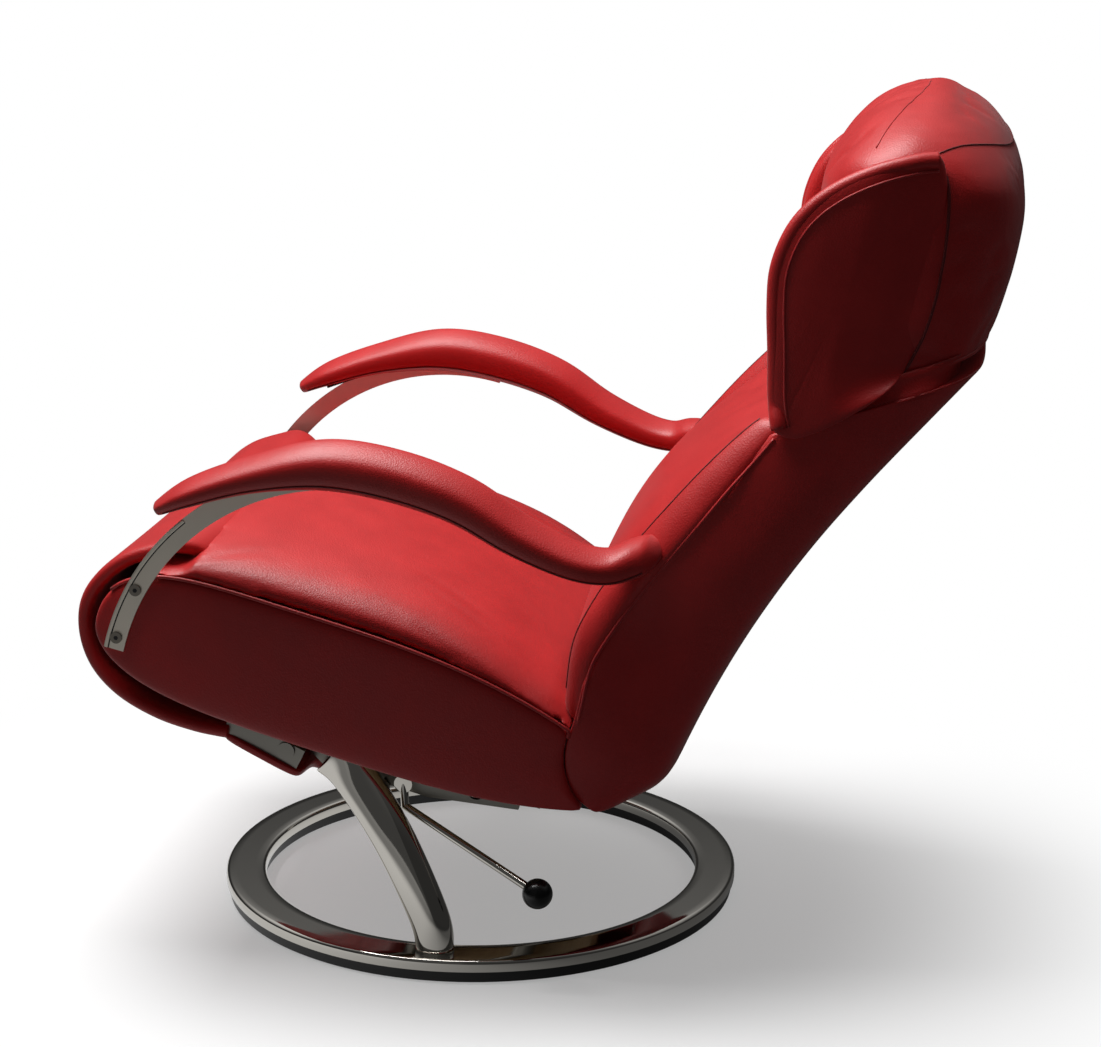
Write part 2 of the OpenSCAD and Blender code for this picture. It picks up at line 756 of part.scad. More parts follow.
// Head cushion: a round-shouldered block, deep behind and hollowed slightly in front
head_front = -52;
head_rear = 138;
function head_base(y) = top_shift - 8 + tan(head_slope) * y;
module head_cushion() {
  n = 32;
  hx = wing_x0 - seat_gap;
  color(leather)
  in_head()
    difference() {
      loft([for (j = [0:12])
        let (
          k = j / 12,
          top = pow(max(0, (k - 0.62) / 0.38), 2),
          sx = sqrt(max(0.02, 1 - 0.62 * top)),
          sy = sqrt(max(0.03, 1 - 0.9 * top)),
          yc = (head_front + head_rear) / 2 - 16 * top,
          dy = (head_rear - head_front) / 2)
        [for (p = oval(hx * sx, dy * sy, n, 0.5))
          let (y = yc + p[1] - 6 * cos(90 * p[0] / hx) * (p[1] < 0 ? 1 : 0))
          [p[0], y, lerp(head_base(y), head_h - 12 * (1 - cos(45 * p[0] / hx)), k)]]]);
      both_sides()
        translate([bracket_x - 9, -hinge_eye - 1, -40])
          cube([9, 2 * hinge_eye + 2, 67]);
      both_sides()
        translate([bracket_x - 1, -hinge_eye - 9, -40])
          cube([bracket_t + 4, 2 * hinge_eye + 18, 60]);
      rod_x(-bracket_x, bracket_x, 0, 0, pin_r + 1.5);
    }
}

// Wings: padded cheeks whose round lobes lie over the sides of the back
wing_outline = smooth([
  [-72, -50], [-84, -20], [-98, 34], [-111, 82], [-118, 124], [-114, 166], [-101, 202],
  [-76, 234], [-40, 262], [0, 281], [26, 288], [42, 262], [53, 222], [60, 172], [62, 124],
  [59, 80], [50, 40], [20, 0], [-18, -36], [-46, -54], [-66, -54]], 2);
function wing_layer(e, cut) = [for (p = wing_outline)
  let (y = lerp(p[0], -28, e), z = lerp(p[1], 130, e))
  [y, cut ? max(z, head_base(y) + 1) : z]];
module wing() {
  in_head()
    loft([for (s = [
      [wing_x0, 0.07, true], [lerp(wing_x0, lobe_x0, 0.3), 0.02, true], [lobe_x0 - 0.5, 0, true],
      [lobe_x0, 0.01, false], [lerp(lobe_x0, wing_x1, 0.5), 0, false], [wing_x1, 0.05, false]])
      [for (p = wing_layer(s[1], s[2])) [s[0], p[0], p[1]]]]);
}
module left_wing() color(leather) wing();
module right_wing() color(leather) mirror([1, 0, 0]) wing();

// Footrest: a board and pad on two arms that swing about the nose of the seat
module board_frame() {
  in_seat()
    translate([0, board_v0, board_w0])
      rotate([-board_tilt, 0, 0])
        children();
}
board_l = (board_v1 - board_v0) / cos(board_tilt);
step_l = (board_step - board_v0) / cos(board_tilt);
module footrest_board() {
  color(ply)
  board_frame()
    translate([0, 0, pad_t])
      linear_extrude(board_t)
        polygon([
          [-board_wide, 0], [board_wide, 0], [board_wide, step_l], [board_narrow, step_l],
          [board_narrow, board_l], [-board_narrow, board_l], [-board_narrow, step_l],
          [-board_wide, step_l]]);
}
module footrest_pad() {
  color(leather)
  board_frame()
    loft([for (s = [[0, 10], [0.3, 3], [0.75, 0.2], [1, 0]])
      let (
        z = (pad_t - seat_gap) * s[0],
        e = s[1],
        w = board_wide - e,
        m = board_narrow - e)
      [[-w, e, z], [w, e, z], [w, step_l - e - 3, z], [m, step_l - e, z], [m, board_l - e, z],
       [-m, board_l - e, z], [-m, step_l - e, z], [-w, step_l - e - 3, z]]],
      ends = [[0, 1, 2, 3, 6, 7], [3, 4, 5, 6]]);
}
module footrest_arms() {
  color(steel)
  in_seat()
    both_sides()
      difference() {
        across(link_x, link_x + link_t)
          union() {
            translate([foot_v, foot_w]) circle(r = 16);
            polygon([
              [foot_v, foot_w - 16], [-132, -66], [-134, board_w0 + 25], [-40, board_w0 + 7],
              [-34, -92], [-104, -80], [-108, -38], [foot_v, foot_w + 16]]);
          }
        rod_x(link_x - 1, link_x + link_t + 1, foot_v, foot_w, pin_r + fit);
      }
}
module footrest_pins() {
  color(chrome)
  in_seat()
    both_sides()
      rod_x(link_x - 2, panel_in, foot_v, foot_w, pin_r);
}
module footrest_rivets() {
  color(chrome)
  in_seat()
    both_sides()
      rod_x(link_x + link_t, link_x + link_t + 3, -56, -98, 10.5);
}

// Release lever
module between(a, b, r) {
  d = b - a;
  translate(a)
    rotate([0, acos(d[2] / norm(d)), atan2(d[1], d[0])])
      cylinder(h = norm(d), r = r);
}
module lever_pivot() {
  color(chrome)
  rod_x(rail_x - rail_t / 2 - 4, lever_x - rod_d / 2 - seat_gap, lever_c[0], lever_c[1], pin_r);
}
module lever_rod() {
  color(chrome)
  difference() {
    union() {
      rod_x(lever_x - rod_d / 2 - 8, lever_x + rod_d / 2, lever_c[0], lever_c[1], pin_r + 5);
      between([lever_x, lever_c[0], lever_c[1]], knee, rod_d / 2);
      translate(knee) sphere(d = rod_d);
      between(knee, knob_c, rod_d / 2);
    }
    rod_x(lever_x - rod_d / 2 - 10, lever_x - rod_d / 2, lever_c[0], lever_c[1], pin_r + fit);
  }
}
module lever_knob() {
  color(black)
  difference() {
    translate(knob_c) sphere(d = knob_d);
    between(knee, knob_c, rod_d / 2);
  }
}
module lever_hook() {
  color(steel)
  translate([rail_x + rail_t / 2 + 2.2 + seat_gap / 2, lever_c[0] - 34, lever_c[1] - 13])
    rotate([90, 0, 90])
      rotate([0, 0, 120])
        rotate_extrude(angle = 300)
          translate([11, 0])
            circle(r = 2.2);
}

rubber_tread();
floor_ring();
bearing_balls();
swivel_ring();
left_leg();
right_leg();
left_rail();
right_rail();
front_cross_tube();
rear_cross_tube();
seat_pan();
seat_cleats();
seat_front_rail();
seat_webbing();
left_side_panel();
right_side_panel();
seat_cushion();
front_flap();
left_arm_bar();
right_arm_bar();
arm_bar_screws();
left_hinge_plate();
right_hinge_plate();
recline_pins();
footrest_pins();
lever_pivot();
lever_hook();
back_lower_rail();
back_hinge_arms();
back_cheeks();
back_shell();
back_panel();
back_cushion();
arm_lugs();
arm_pivot_pins();
head_brackets();
head_hinge_pin();
head_hinge_plate();
head_cushion();
left_wing();
right_wing();
left_arm_pad();
right_arm_pad();
left_bar_guide();
right_bar_guide();
footrest_board();
footrest_pad();
footrest_arms();
footrest_rivets();
lever_rod();
lever_knob();
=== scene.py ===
import bpy
import bmesh
from math import atan2, copysign, cos, exp, hypot, pi, radians, sin, sqrt, tan
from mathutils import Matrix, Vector
from mathutils.bvhtree import BVHTree


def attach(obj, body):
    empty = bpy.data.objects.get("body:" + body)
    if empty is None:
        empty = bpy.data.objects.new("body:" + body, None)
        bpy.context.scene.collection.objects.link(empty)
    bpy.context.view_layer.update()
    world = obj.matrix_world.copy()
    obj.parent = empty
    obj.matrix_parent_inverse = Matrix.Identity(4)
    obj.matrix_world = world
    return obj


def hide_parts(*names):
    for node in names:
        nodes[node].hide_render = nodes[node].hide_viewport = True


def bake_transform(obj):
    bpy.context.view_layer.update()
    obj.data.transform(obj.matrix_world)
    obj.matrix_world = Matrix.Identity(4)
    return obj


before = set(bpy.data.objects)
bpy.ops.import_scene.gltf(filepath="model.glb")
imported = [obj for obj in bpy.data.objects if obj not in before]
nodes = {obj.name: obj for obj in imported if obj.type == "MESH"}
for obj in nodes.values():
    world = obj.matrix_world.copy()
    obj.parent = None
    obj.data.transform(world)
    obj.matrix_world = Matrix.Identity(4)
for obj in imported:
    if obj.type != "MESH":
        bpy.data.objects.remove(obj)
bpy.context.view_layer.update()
scene = bpy.context.scene
mm = 0.001

# chair frames, as the CAD has them: seat along its slope, back along its lean, headrest on its tilt axis
frames = {
    "seat": {"y": -100, "z": 350, "lean": 15.5},
    "back": {"y": 248.02, "z": 287.73, "lean": 40},
    "head": {"y": 470.08, "z": 714.94, "lean": 13},
}


def place(name, x, along, up):
    f = frames[name]
    a = radians(f["lean"])
    y = f["y"] + along * cos(a) + up * sin(a)
    z = f["z"] - along * sin(a) + up * cos(a)
    return Vector((x * mm, y * mm, z * mm))


def local(name, co):
    f = frames[name]
    a = radians(f["lean"])
    y, z = co.y / mm - f["y"], co.z / mm - f["z"]
    return y * cos(a) - z * sin(a), y * sin(a) + z * cos(a)


def sideName(side):
    return "left" if side > 0 else "right"


def lerp(a, b, t):
    return a + (b - a) * t


def spread(low, high, count):  # even steps, both ends included
    return [lerp(low, high, k / count) for k in range(count + 1)]


def clamp01(t):
    return max(0.0, min(1.0, t))


def ease(t):
    t = clamp01(t)
    return t * t * (3 - 2 * t)


def signedPower(value, power):
    return copysign(abs(value) ** power, value)


def oval(count, power):  # points round a unit oval, squarer below a power of 1 and sharper above
    turns = [2 * pi * k / count for k in range(count)]
    return [(signedPower(cos(a), power), signedPower(sin(a), power)) for a in turns]


def dome(half, rise, shape):  # section of a cushion from seam to seam: x and height over the seam
    n = shape["points"]
    turns = [pi * i / n for i in range(n + 1)]
    lifts = [0] + [rise * sin(a) ** shape["dome"] for a in turns[1:-1]] + [0]
    return [(half * signedPower(cos(a), shape["box"]), lift) for a, lift in zip(turns, lifts)]


def spline(points, steps):
    pts = [Vector(p) for p in points]
    out = []
    for i in range(len(pts) - 1):
        a, b, c, d = pts[max(0, i - 1)], pts[i], pts[i + 1], pts[min(len(pts) - 1, i + 2)]
        for k in range(steps):
            t = k / steps
            out.append(0.5 * (2 * b + (c - a) * t + (2 * a - 5 * b + 4 * c - d) * t * t
                              + (3 * b - a - 3 * c + d) * t ** 3))
    return out + [pts[-1]]


def heading(points, i):
    return points[min(len(points) - 1, i + 1)] - points[max(0, i - 1)]


def addLoop(bm, points, closed=True):
    verts = [bm.verts.new(p) for p in points]
    ends = verts[1:] + verts[:1] if closed else verts[1:]
    return [bm.edges.new(pair) for pair in zip(verts, ends)]


def skinLoops(bm, rings):  # one closed skin over a row of rings
    loops = [addLoop(bm, ring) for ring in rings]
    for low, high in zip(loops, loops[1:]):
        bmesh.ops.bridge_loops(bm, edges=low + high)
    for loop in (loops[0], loops[-1]):
        bmesh.ops.contextual_create(bm, geom=loop)
    bmesh.ops.recalc_face_normals(bm, faces=bm.faces)


def shadeMesh(mesh, smooth=True):
    mesh.polygons.foreach_set("use_smooth", [smooth] * len(mesh.polygons))


def makeObject(name, bm, material, smooth=True):
    mesh = bpy.data.meshes.new(name)
    bm.normal_update()
    bm.to_mesh(mesh)
    bm.free()
    obj = bpy.data.objects.new(name, mesh)
    scene.collection.objects.link(obj)
    mesh.materials.append(material)
    shadeMesh(mesh, smooth)
    return obj


def loft(name, rings, material, smooth=True):
    bm = bmesh.new()
    skinLoops(bm, rings)
    return makeObject(name, bm, material, smooth)


def addSubdivision(obj, levels):
    mod = obj.modifiers.new("Subdivision", "SUBSURF")
    mod.levels = levels
    mod.render_levels = levels


def applyModifiers(obj):
    dg = bpy.context.evaluated_depsgraph_get()
    mesh = bpy.data.meshes.new_from_object(obj.evaluated_get(dg))
    obj.modifiers.clear()
    obj.data = mesh


def surfaceOf(obj):
    dg = bpy.context.evaluated_depsgraph_get()
    return BVHTree.FromObject(obj, dg)


def tubeAlong(bm, points, radius, sides=8):
    turns = [2 * pi * k / sides for k in range(sides)]
    rings = []
    for i, p in enumerate(points):
        d = heading(points, i).normalized()
        across = Vector((1, 0, 0)) if abs(d.x) < 0.9 else Vector((0, 0, 1))
        side = d.cross(across).normalized()
        up = side.cross(d)
        rings.append([p + radius * (cos(a) * side + sin(a) * up) for a in turns])
    skinLoops(bm, rings)


def layOn(points, tree, lift):
    out = []
    for p in points:
        hit = tree.find_nearest(p)
        out.append(hit[0] + hit[1] * lift if hit[0] is not None else p)
    return out


def fasten(obj, body, slot, *stands):  # its body, its colour slot (not used) and the CAD nodes that it stands for
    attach(obj, body)
    if stands:
        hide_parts(*stands)


def upholster(obj, body, fill, *stands):
    fasten(obj, body, "red_leather", *stands)


def makePad(name, rings, levels, body, fill, *stands):  # lofted and subdivided by hand
    pad = loft(name, rings, redLeather)
    addSubdivision(pad, levels)
    upholster(pad, body, fill, *stands)
    return pad


def layTrim(name, lines, radiusMm, material, body, tree=None, liftMm=0):  # piping, welt or seam as thin tubes
    bm = bmesh.new()
    for points in lines:
        tubeAlong(bm, layOn(points, tree, liftMm * mm) if tree else points, radiusMm * mm)
    trim = makeObject(name, bm, material)
    fasten(trim, body, "red_leather")


def linear(hexColour):
    values = [int(hexColour[i:i + 2], 16) / 255 for i in (1, 3, 5)]
    return tuple(v / 12.92 if v <= 0.04045 else ((v + 0.055) / 1.055) ** 2.4 for v in values) + (1.0,)


def node(tree, kind, links=(), **settings):
    made = tree.nodes.new("ShaderNode" + kind)
    for key, value in settings.items():
        if key.startswith("in_"):
            made.inputs[key[3:].replace("_", " ")].default_value = value
        else:
            setattr(made, key, value)
    for source, output, socket in links:
        tree.links.new(source.outputs[output], made.inputs[socket])
    return made


def linkTo(tree, source, output, target, socket):
    tree.links.new(source.outputs[output], target.inputs[socket])


def newMaterial(name):
    material = bpy.data.materials.new(name)
    material.use_nodes = True
    tree = material.node_tree
    where = [(node(tree, "TexCoord"), "Object", "Vector")]  # patterns keep to the piece as it moves
    return material, tree, tree.nodes["Principled BSDF"], where


def addPattern(tree, shader, pattern, dark, pale, strength, deepMm):  # one pattern gives colour and relief
    tint = node(tree, "Mix", [(pattern, "Fac", "Factor")], data_type="RGBA",
                in_A=linear(dark), in_B=linear(pale))
    linkTo(tree, tint, "Result", shader, "Base Color")
    bump = node(tree, "Bump", [(pattern, "Fac", "Height")],
                in_Strength=strength, in_Distance=deepMm * mm)
    linkTo(tree, bump, "Normal", shader, "Normal")
    return bump


leatherLook = {
    "red": "#C41D1D", "deep": "#A91416", "roughness": 0.43, "polished": 0.06, "dry": 0.07,
    "grainMm": 2.0, "grainDeepMm": 0.7, "grainBump": 0.3,
    "creaseMm": 46, "creaseDeepMm": 4, "creaseBump": 0.10,
}


# pigmented cowhide: pebbled grain, soft sheen, colour varying at random and a little deeper in its hollows,
# that deepening a painted shade
def paintLeather(name, look):
    material, tree, shader, where = newMaterial(name)
    grain = node(tree, "TexVoronoi", where, feature="SMOOTH_F1",
                 in_Scale=1000 / look["grainMm"], in_Smoothness=0.6)
    cloud = node(tree, "TexNoise", where,
                 in_Scale=1000 / look["creaseMm"], in_Detail=4.0, in_Roughness=0.55)
    gloss = node(tree, "MapRange", [(cloud, "Fac", "Value")],
                 in_To_Min=look["roughness"] - look["polished"], in_To_Max=look["roughness"] + look["dry"])
    linkTo(tree, gloss, "Result", shader, "Roughness")
    # crease cloud: a random tone, and a darker red in the hollows as painted shade
    soft = addPattern(tree, shader, cloud, look["deep"], look["red"],
                      look["creaseBump"], look["creaseDeepMm"])
    pebble = node(tree, "Bump", [(grain, "Distance", "Height"), (soft, "Normal", "Normal")],
                  in_Strength=look["grainBump"], in_Distance=look["grainDeepMm"] * mm)
    linkTo(tree, pebble, "Normal", shader, "Normal")
    shader.inputs["Specular IOR Level"].default_value = 0.5
    shader.inputs["Sheen Weight"].default_value = 0.1
    shader.inputs["Sheen Roughness"].default_value = 0.4
    return material


redLeather = paintLeather("redCowhide", leatherLook)
# piping, welts and the crown seam: a paler copy of the red leather, its paleness a painted highlight where
# they catch the light
pipingLeatherPaintedHighlight = paintLeather("redCowhidePipingPaintedHighlight", dict(leatherLook, red="#C22A2A", deep="#A51E20"))
# seams: a much darker copy of the red leather; the seams are real, their dark colour is painted shade of the
# stitched groove
seamLeatherPaintedShade = paintLeather("redCowhideSeamPaintedShade", dict(leatherLook, red="#7A1113", deep="#5C0C0E", roughness=0.6))

metalLook = {"smearMm": 26.3158, "leastRough": 0.02, "brushLongMm": 25, "brushDeepMm": 0.3, "brushBump": 0.12}


# plated or bare steel: polish swirls in the gloss, fine brush lines where brushMm is given
def paintMetal(name, colour, roughness, brushMm=0.0, wear=0.03):
    material, tree, shader, where = newMaterial(name)
    shader.inputs["Base Color"].default_value = linear(colour)
    shader.inputs["Metallic"].default_value = 1.0
    smear = node(tree, "TexNoise", where,
                 in_Scale=1000 / metalLook["smearMm"], in_Detail=5.0)
    gloss = node(tree, "MapRange", [(smear, "Fac", "Value")],
                 in_To_Min=max(metalLook["leastRough"], roughness - wear), in_To_Max=roughness + wear)
    linkTo(tree, gloss, "Result", shader, "Roughness")
    if brushMm:
        along = 1000 / metalLook["brushLongMm"]
        line = node(tree, "Mapping", where,
                    in_Scale=(1000 / brushMm, along, along))
        brush = node(tree, "TexNoise", [(line, "Vector", "Vector")], in_Scale=1.0, in_Detail=3.0)
        bump = node(tree, "Bump", [(brush, "Fac", "Height")],
                    in_Strength=metalLook["brushBump"], in_Distance=metalLook["brushDeepMm"] * mm)
        linkTo(tree, bump, "Normal", shader, "Normal")
    return material


# chrome plate: its warm tint is painted reflection colour, standing for the warm room it mirrors
chrome = paintMetal("chromePlate", "#D8D4CC", 0.06)
greySteel = paintMetal("zincPlatedSteel", "#8E8B84", 0.36, brushMm=1.2, wear=0.06)
satinNickel = paintMetal("satinNickel", "#EAE2D4", 0.46, brushMm=1.2, wear=0.06)
screwSteel = paintMetal("blackenedSteel", "#8C867C", 0.4)
ballSteel = paintMetal("bearingSteel", "#B8B8B8", 0.12)


# moulded or painted: faint cloud and a fine skin
def paintPlain(name, colour, dark, roughness, grainMm, bumpMm):
    material, tree, shader, where = newMaterial(name)
    cloud = node(tree, "TexNoise", where,
                 in_Scale=1000 / grainMm, in_Detail=4.0)
    addPattern(tree, shader, cloud, dark, colour, 0.2, bumpMm)
    shader.inputs["Roughness"].default_value = roughness
    return material


blackPaint = paintPlain("satinBlackPaint", "#161616", "#0B0B0B", 0.38, 2.0, 0.1)
blackRubber = paintPlain("mouldedRubber", "#1B1B1B", "#121212", 0.8, 1.5, 0.25)
blackPlastic = paintPlain("phenolicKnob", "#121213", "#0A0A0A", 0.22, 4.0, 0.05)
guidePlastic = paintPlain("mouldedNylon", "#141414", "#0D0D0D", 0.5, 1.2, 0.15)

plyLook = {"pale": "#D9B98A", "streak": "#A47B4C", "longMm": 250, "wideMm": 6.25, "deepMm": 0.4}


def paintPlywood(look):  # birch ply: pale stretched grain with darker streaks
    material, tree, shader, where = newMaterial("birchPly")
    wide = 1000 / look["wideMm"]
    stretch = node(tree, "Mapping", where,
                   in_Scale=(1000 / look["longMm"], wide, wide))
    grain = node(tree, "TexNoise", [(stretch, "Vector", "Vector")], in_Scale=1.0, in_Detail=6.0,
                 in_Distortion=0.4)
    addPattern(tree, shader, grain, look["streak"], look["pale"], 0.15, look["deepMm"])
    shader.inputs["Roughness"].default_value = 0.6
    return material


birchPly = paintPlywood(plyLook)

webbingLook = {"black": "#141414", "ribTop": "#333230", "ribMm": 3, "ribDeepMm": 0.6}


def paintWebbing(look):  # woven elastic strap: dull black with fine ribs
    material, tree, shader, where = newMaterial("wovenElastic")
    perRib = 2 * pi / (20 * look["ribMm"] * mm)  # a wave texture runs 20 radians per unit
    rib = node(tree, "TexWave", where, bands_direction="X",
               in_Scale=perRib, in_Distortion=0.6, in_Detail=2.0)
    # paler on the rib tops, black in between
    addPattern(tree, shader, rib, look["black"], look["ribTop"], 0.4, look["ribDeepMm"])
    shader.inputs["Roughness"].default_value = 0.85
    return material


wovenElastic = paintWebbing(webbingLook)
print("materials ready")

# rigid pieces keep the CAD's own solids and only take a finish
finishes = {
    chrome: ["recline_pins", "footrest_pins", "lever_pivot", "arm_pivot_pins", "head_hinge_pin", "lever_rod"],
    satinNickel: ["left_arm_bar", "right_arm_bar"],
    screwSteel: ["arm_bar_screws"],
    greySteel: ["left_rail", "right_rail", "front_cross_tube", "rear_cross_tube",
                "left_hinge_plate", "right_hinge_plate", "lever_hook", "back_hinge_arms", "arm_lugs",
                "head_brackets", "head_hinge_plate", "footrest_arms", "footrest_rivets"],
    ballSteel: ["bearing_balls"],
    blackPaint: ["floor_ring"],
    blackRubber: ["rubber_tread"],
    blackPlastic: ["lever_knob"],
    guidePlastic: ["left_bar_guide", "right_bar_guide"],
    birchPly: ["seat_pan", "seat_cleats", "seat_front_rail", "back_panel"],
    wovenElastic: ["seat_webbing"],
}
for finish, names in finishes.items():
    for name in names:
        nodes[name].data.materials.clear()
        nodes[name].data.materials.append(finish)
print("rigid nodes painted")

# arm bars: a raised lip along the outer edge with a dark line beside it, a black strip that is painted shade
# of the groove, and black hex sockets in the screws, painted shade of their recess
barShape = {
    "centre": (-100.26, 330.4), "radius": 283, "face": 330.3, "span": (166, 129), "steps": 30,
    "lip": (7.4, 12), "proud": 1.1, "sunk": 0.6, "chamfer": (0.3, 0.5), "bevel": 1.6,
    "line": 1.5, "skin": 0.15,
    "screws": (163, 150), "screwTop": 332.5, "socket": 2.8, "socketDeep": 0.5,
}


def barPoint(side, x, degrees, radius, turn=0, reach=0):
    a = radians(degrees)
    y = barShape["centre"][0] + radius * cos(a) + reach * cos(turn)
    z = barShape["centre"][1] + radius * sin(a) + reach * sin(turn)
    return Vector((side * x, y, z)) * mm


def buildBarTrim(side, shape):
    name = sideName(side)
    low, high = (shape["radius"] + r for r in shape["lip"])
    face, proud, sunk = shape["face"], shape["face"] + shape["proud"], shape["face"] - shape["sunk"]
    cutX, cutR = shape["chamfer"]
    lipSection = [(sunk, low), (proud - cutX, low), (proud, low + cutR), (proud, high - shape["bevel"]),
                  (face, high), (sunk, high)]
    # the dark line: a flat black strip just proud of the face beside the lip, painted shade of a groove
    inner, top = low - shape["line"], face + shape["skin"]
    grooveShadeSection = [(sunk, inner), (top, inner), (top, low), (sunk, low)]
    for label, section, steel, slot in (("BarLip", lipSection, satinNickel, "grey_steel"),
                                        ("BarGroovePaintedShade", grooveShadeSection, blackPaint, "black_steel")):
        turns = spread(*shape["span"], shape["steps"])
        rings = [[barPoint(side, x, degrees, r) for x, r in section] for degrees in turns]
        strip = loft(name + label, rings, steel, smooth=False)
        fasten(strip, "chassis", slot)
    # black hexagons standing in the screw heads: painted shade of the hex sockets
    bm = bmesh.new()
    corners = [radians(60 * k) for k in range(6)]
    heights = [shape["screwTop"] + rise for rise in (-shape["socketDeep"], shape["skin"])]
    r, reach = shape["radius"], shape["socket"]
    for degrees in shape["screws"]:
        skinLoops(bm, [[barPoint(side, x, degrees, r, a, reach) for a in corners] for x in heights])
    sockets = makeObject(name + "ScrewSocketsPaintedShade", bm, blackPaint, smooth=False)
    fasten(sockets, "chassis", "black_steel")


for side in (1, -1):
    buildBarTrim(side, barShape)
print("arm bars trimmed")

# swivel ring, turned as one smooth section
ringShape = {
    "outer": 330, "band": 51, "bottom": 15.5, "thick": 15, "edge": 5, "foot": 0.8, "hold": 14,
    "arc": (0.4, 0.8, 1.2), "steps": 128,
}


def buildRing(shape):
    bm = bmesh.new()
    r0, r1 = shape["outer"] - shape["band"], shape["outer"]
    z0, z1, e = shape["bottom"], shape["bottom"] + shape["thick"], shape["edge"]
    foot, hold = shape["foot"], shape["hold"]
    section = [(r0 + foot, z0), (r0, z0 + foot), (r0, z1 - e)]
    section += [(r0 + e - e * cos(a), z1 - e + e * sin(a)) for a in shape["arc"]]
    section += [(r0 + e, z1), (r0 + hold, z1), (r1 - hold, z1), (r1 - e, z1)]
    section += [(r1 - e + e * cos(a), z1 - e + e * sin(a)) for a in reversed(shape["arc"])]
    section += [(r1, z1 - e), (r1, z0 + foot), (r1 - foot, z0)]
    edges = addLoop(bm, [(r * mm, 0, z * mm) for r, z in section])
    bmesh.ops.spin(bm, geom=edges + list(bm.verts), cent=(0, 0, 0), axis=(0, 0, 1), angle=2 * pi,
                   steps=shape["steps"], use_merge=True)
    bmesh.ops.remove_doubles(bm, verts=bm.verts, dist=1e-6)
    bmesh.ops.recalc_face_normals(bm, faces=bm.faces)
    ring = makeObject("chromeRing", bm, chrome)
    fasten(ring, "chassis", "chrome", "swivel_ring")


buildRing(ringShape)

# legs: chromed oval tubes that sweep forward and inward
legShape = {
    "path": [(296.5, -2, 30.8), (292.5, -10, 70.5), (275.2, -56, 161), (250.3, -109, 229.5),
             (246.3, -135.2, 253.9)],
    "footWide": 46, "topWide": 60, "thick": 30, "oval": 0.9, "sides": 28, "steps": 9,
}


def buildLeg(side, shape):
    path = spline(shape["path"], shape["steps"])
    n = len(path) - 1
    rings = []
    for i, p in enumerate(path):
        d = heading(path, i)
        tilt = 0 if i == 0 else atan2(-d.y, d.z)
        wide = lerp(shape["footWide"], shape["topWide"], i / n) / 2
        ring = []
        for cx, cy in oval(shape["sides"], shape["oval"]):
            x, t = shape["thick"] / 2 * cx, wide * cy
            ring.append(Vector((side * (p.x + x), p.y + t * cos(tilt), p.z + t * sin(tilt))) * mm)
        rings.append(ring)
    name = sideName(side)
    leg = loft(name + "ChromeLeg", rings, chrome)
    fasten(leg, "chassis", "chrome", name + "_leg")


for side in (1, -1):
    buildLeg(side, legShape)
print("ring and legs built")

# seat side panels: outline along the seat's slope, with a nose in front and a hollow round the back's foot
seatShape = {
    "half": 325, "panel": 28, "top": 82, "bottom": 77, "front": -310, "level": -50,
    "noseTop": (5.2, 0.45), "fallTop": 2.6, "noseLow": 4, "fallLow": 3,
    "hip": (352, 33), "clear": 91.5, "arc": (173, 239),
    "noseCuts": [-310, -309.4, -307.6, -304.6, -300, -293, -283, -268, -248, -222, -190, -150, -100],
}


def arcPoint(degrees):
    a = radians(degrees)
    r = seatShape["clear"]
    return seatShape["hip"][0] + r * cos(a), seatShape["hip"][1] + r * sin(a)


arcEnd = arcPoint(seatShape["arc"][0])
lowEnd = arcPoint(seatShape["arc"][1])


def panelTop(v):
    s = seatShape
    run = v - s["level"]
    if run < 0:
        power, root = s["noseTop"]
        return s["top"] * max(0, 1 - (run / (s["front"] - s["level"])) ** power) ** root
    return s["top"] - (s["top"] - arcEnd[1]) * (run / (arcEnd[0] - s["level"])) ** s["fallTop"]


def panelLow(v):
    s = seatShape
    if v < 0:
        return -s["bottom"] * sqrt(max(0, 1 - (v / s["front"]) ** s["noseLow"]))
    return -s["bottom"] + (lowEnd[1] + s["bottom"]) * (v / lowEnd[0]) ** s["fallLow"]


def panelOutline():
    cuts = seatShape["noseCuts"]
    top = [(v, panelTop(v)) for v in cuts + spread(seatShape["level"], arcEnd[0], 12)]
    arc = [arcPoint(degrees) for degrees in spread(*seatShape["arc"], 9)[1:-1]]
    low = [(v, panelLow(v)) for v in [lowEnd[0] * k / 12 for k in range(12, -1, -1)]]
    low += [(v, panelLow(v)) for v in [-50, -100, -150] + cuts[10:0:-1]]
    return [Vector(p) for p in top + arc + low]


def towards(outline, spine, share):  # the outline drawn in towards a line along its middle
    ring = []
    for p in outline:
        u = max(spine[0].x, min(spine[1].x, p.x))
        middle = spine[0].lerp(spine[1], (u - spine[0].x) / (spine[1].x - spine[0].x))
        ring.append(p.lerp(middle, share))
    return ring


panelShape = {
    "spine": ((-225, 2), (235, -8)),
    "inner": [(1, 0.06), (5, 0.015), (12, 0)],
    "outer": [(-6, 0), (-2.6, 0.02), (-0.4, 0.07), (0.8, 0.18), (1.4, 0.4), (1.6, 0.75)],
    "pipe": 2.3, "pipeFrom": -299, "pipeSteps": 70, "pipeLift": 0.8, "pipeIn": 3,
    "pipeEnd": [(0.6, -2.5), (0.2, -8)],
}


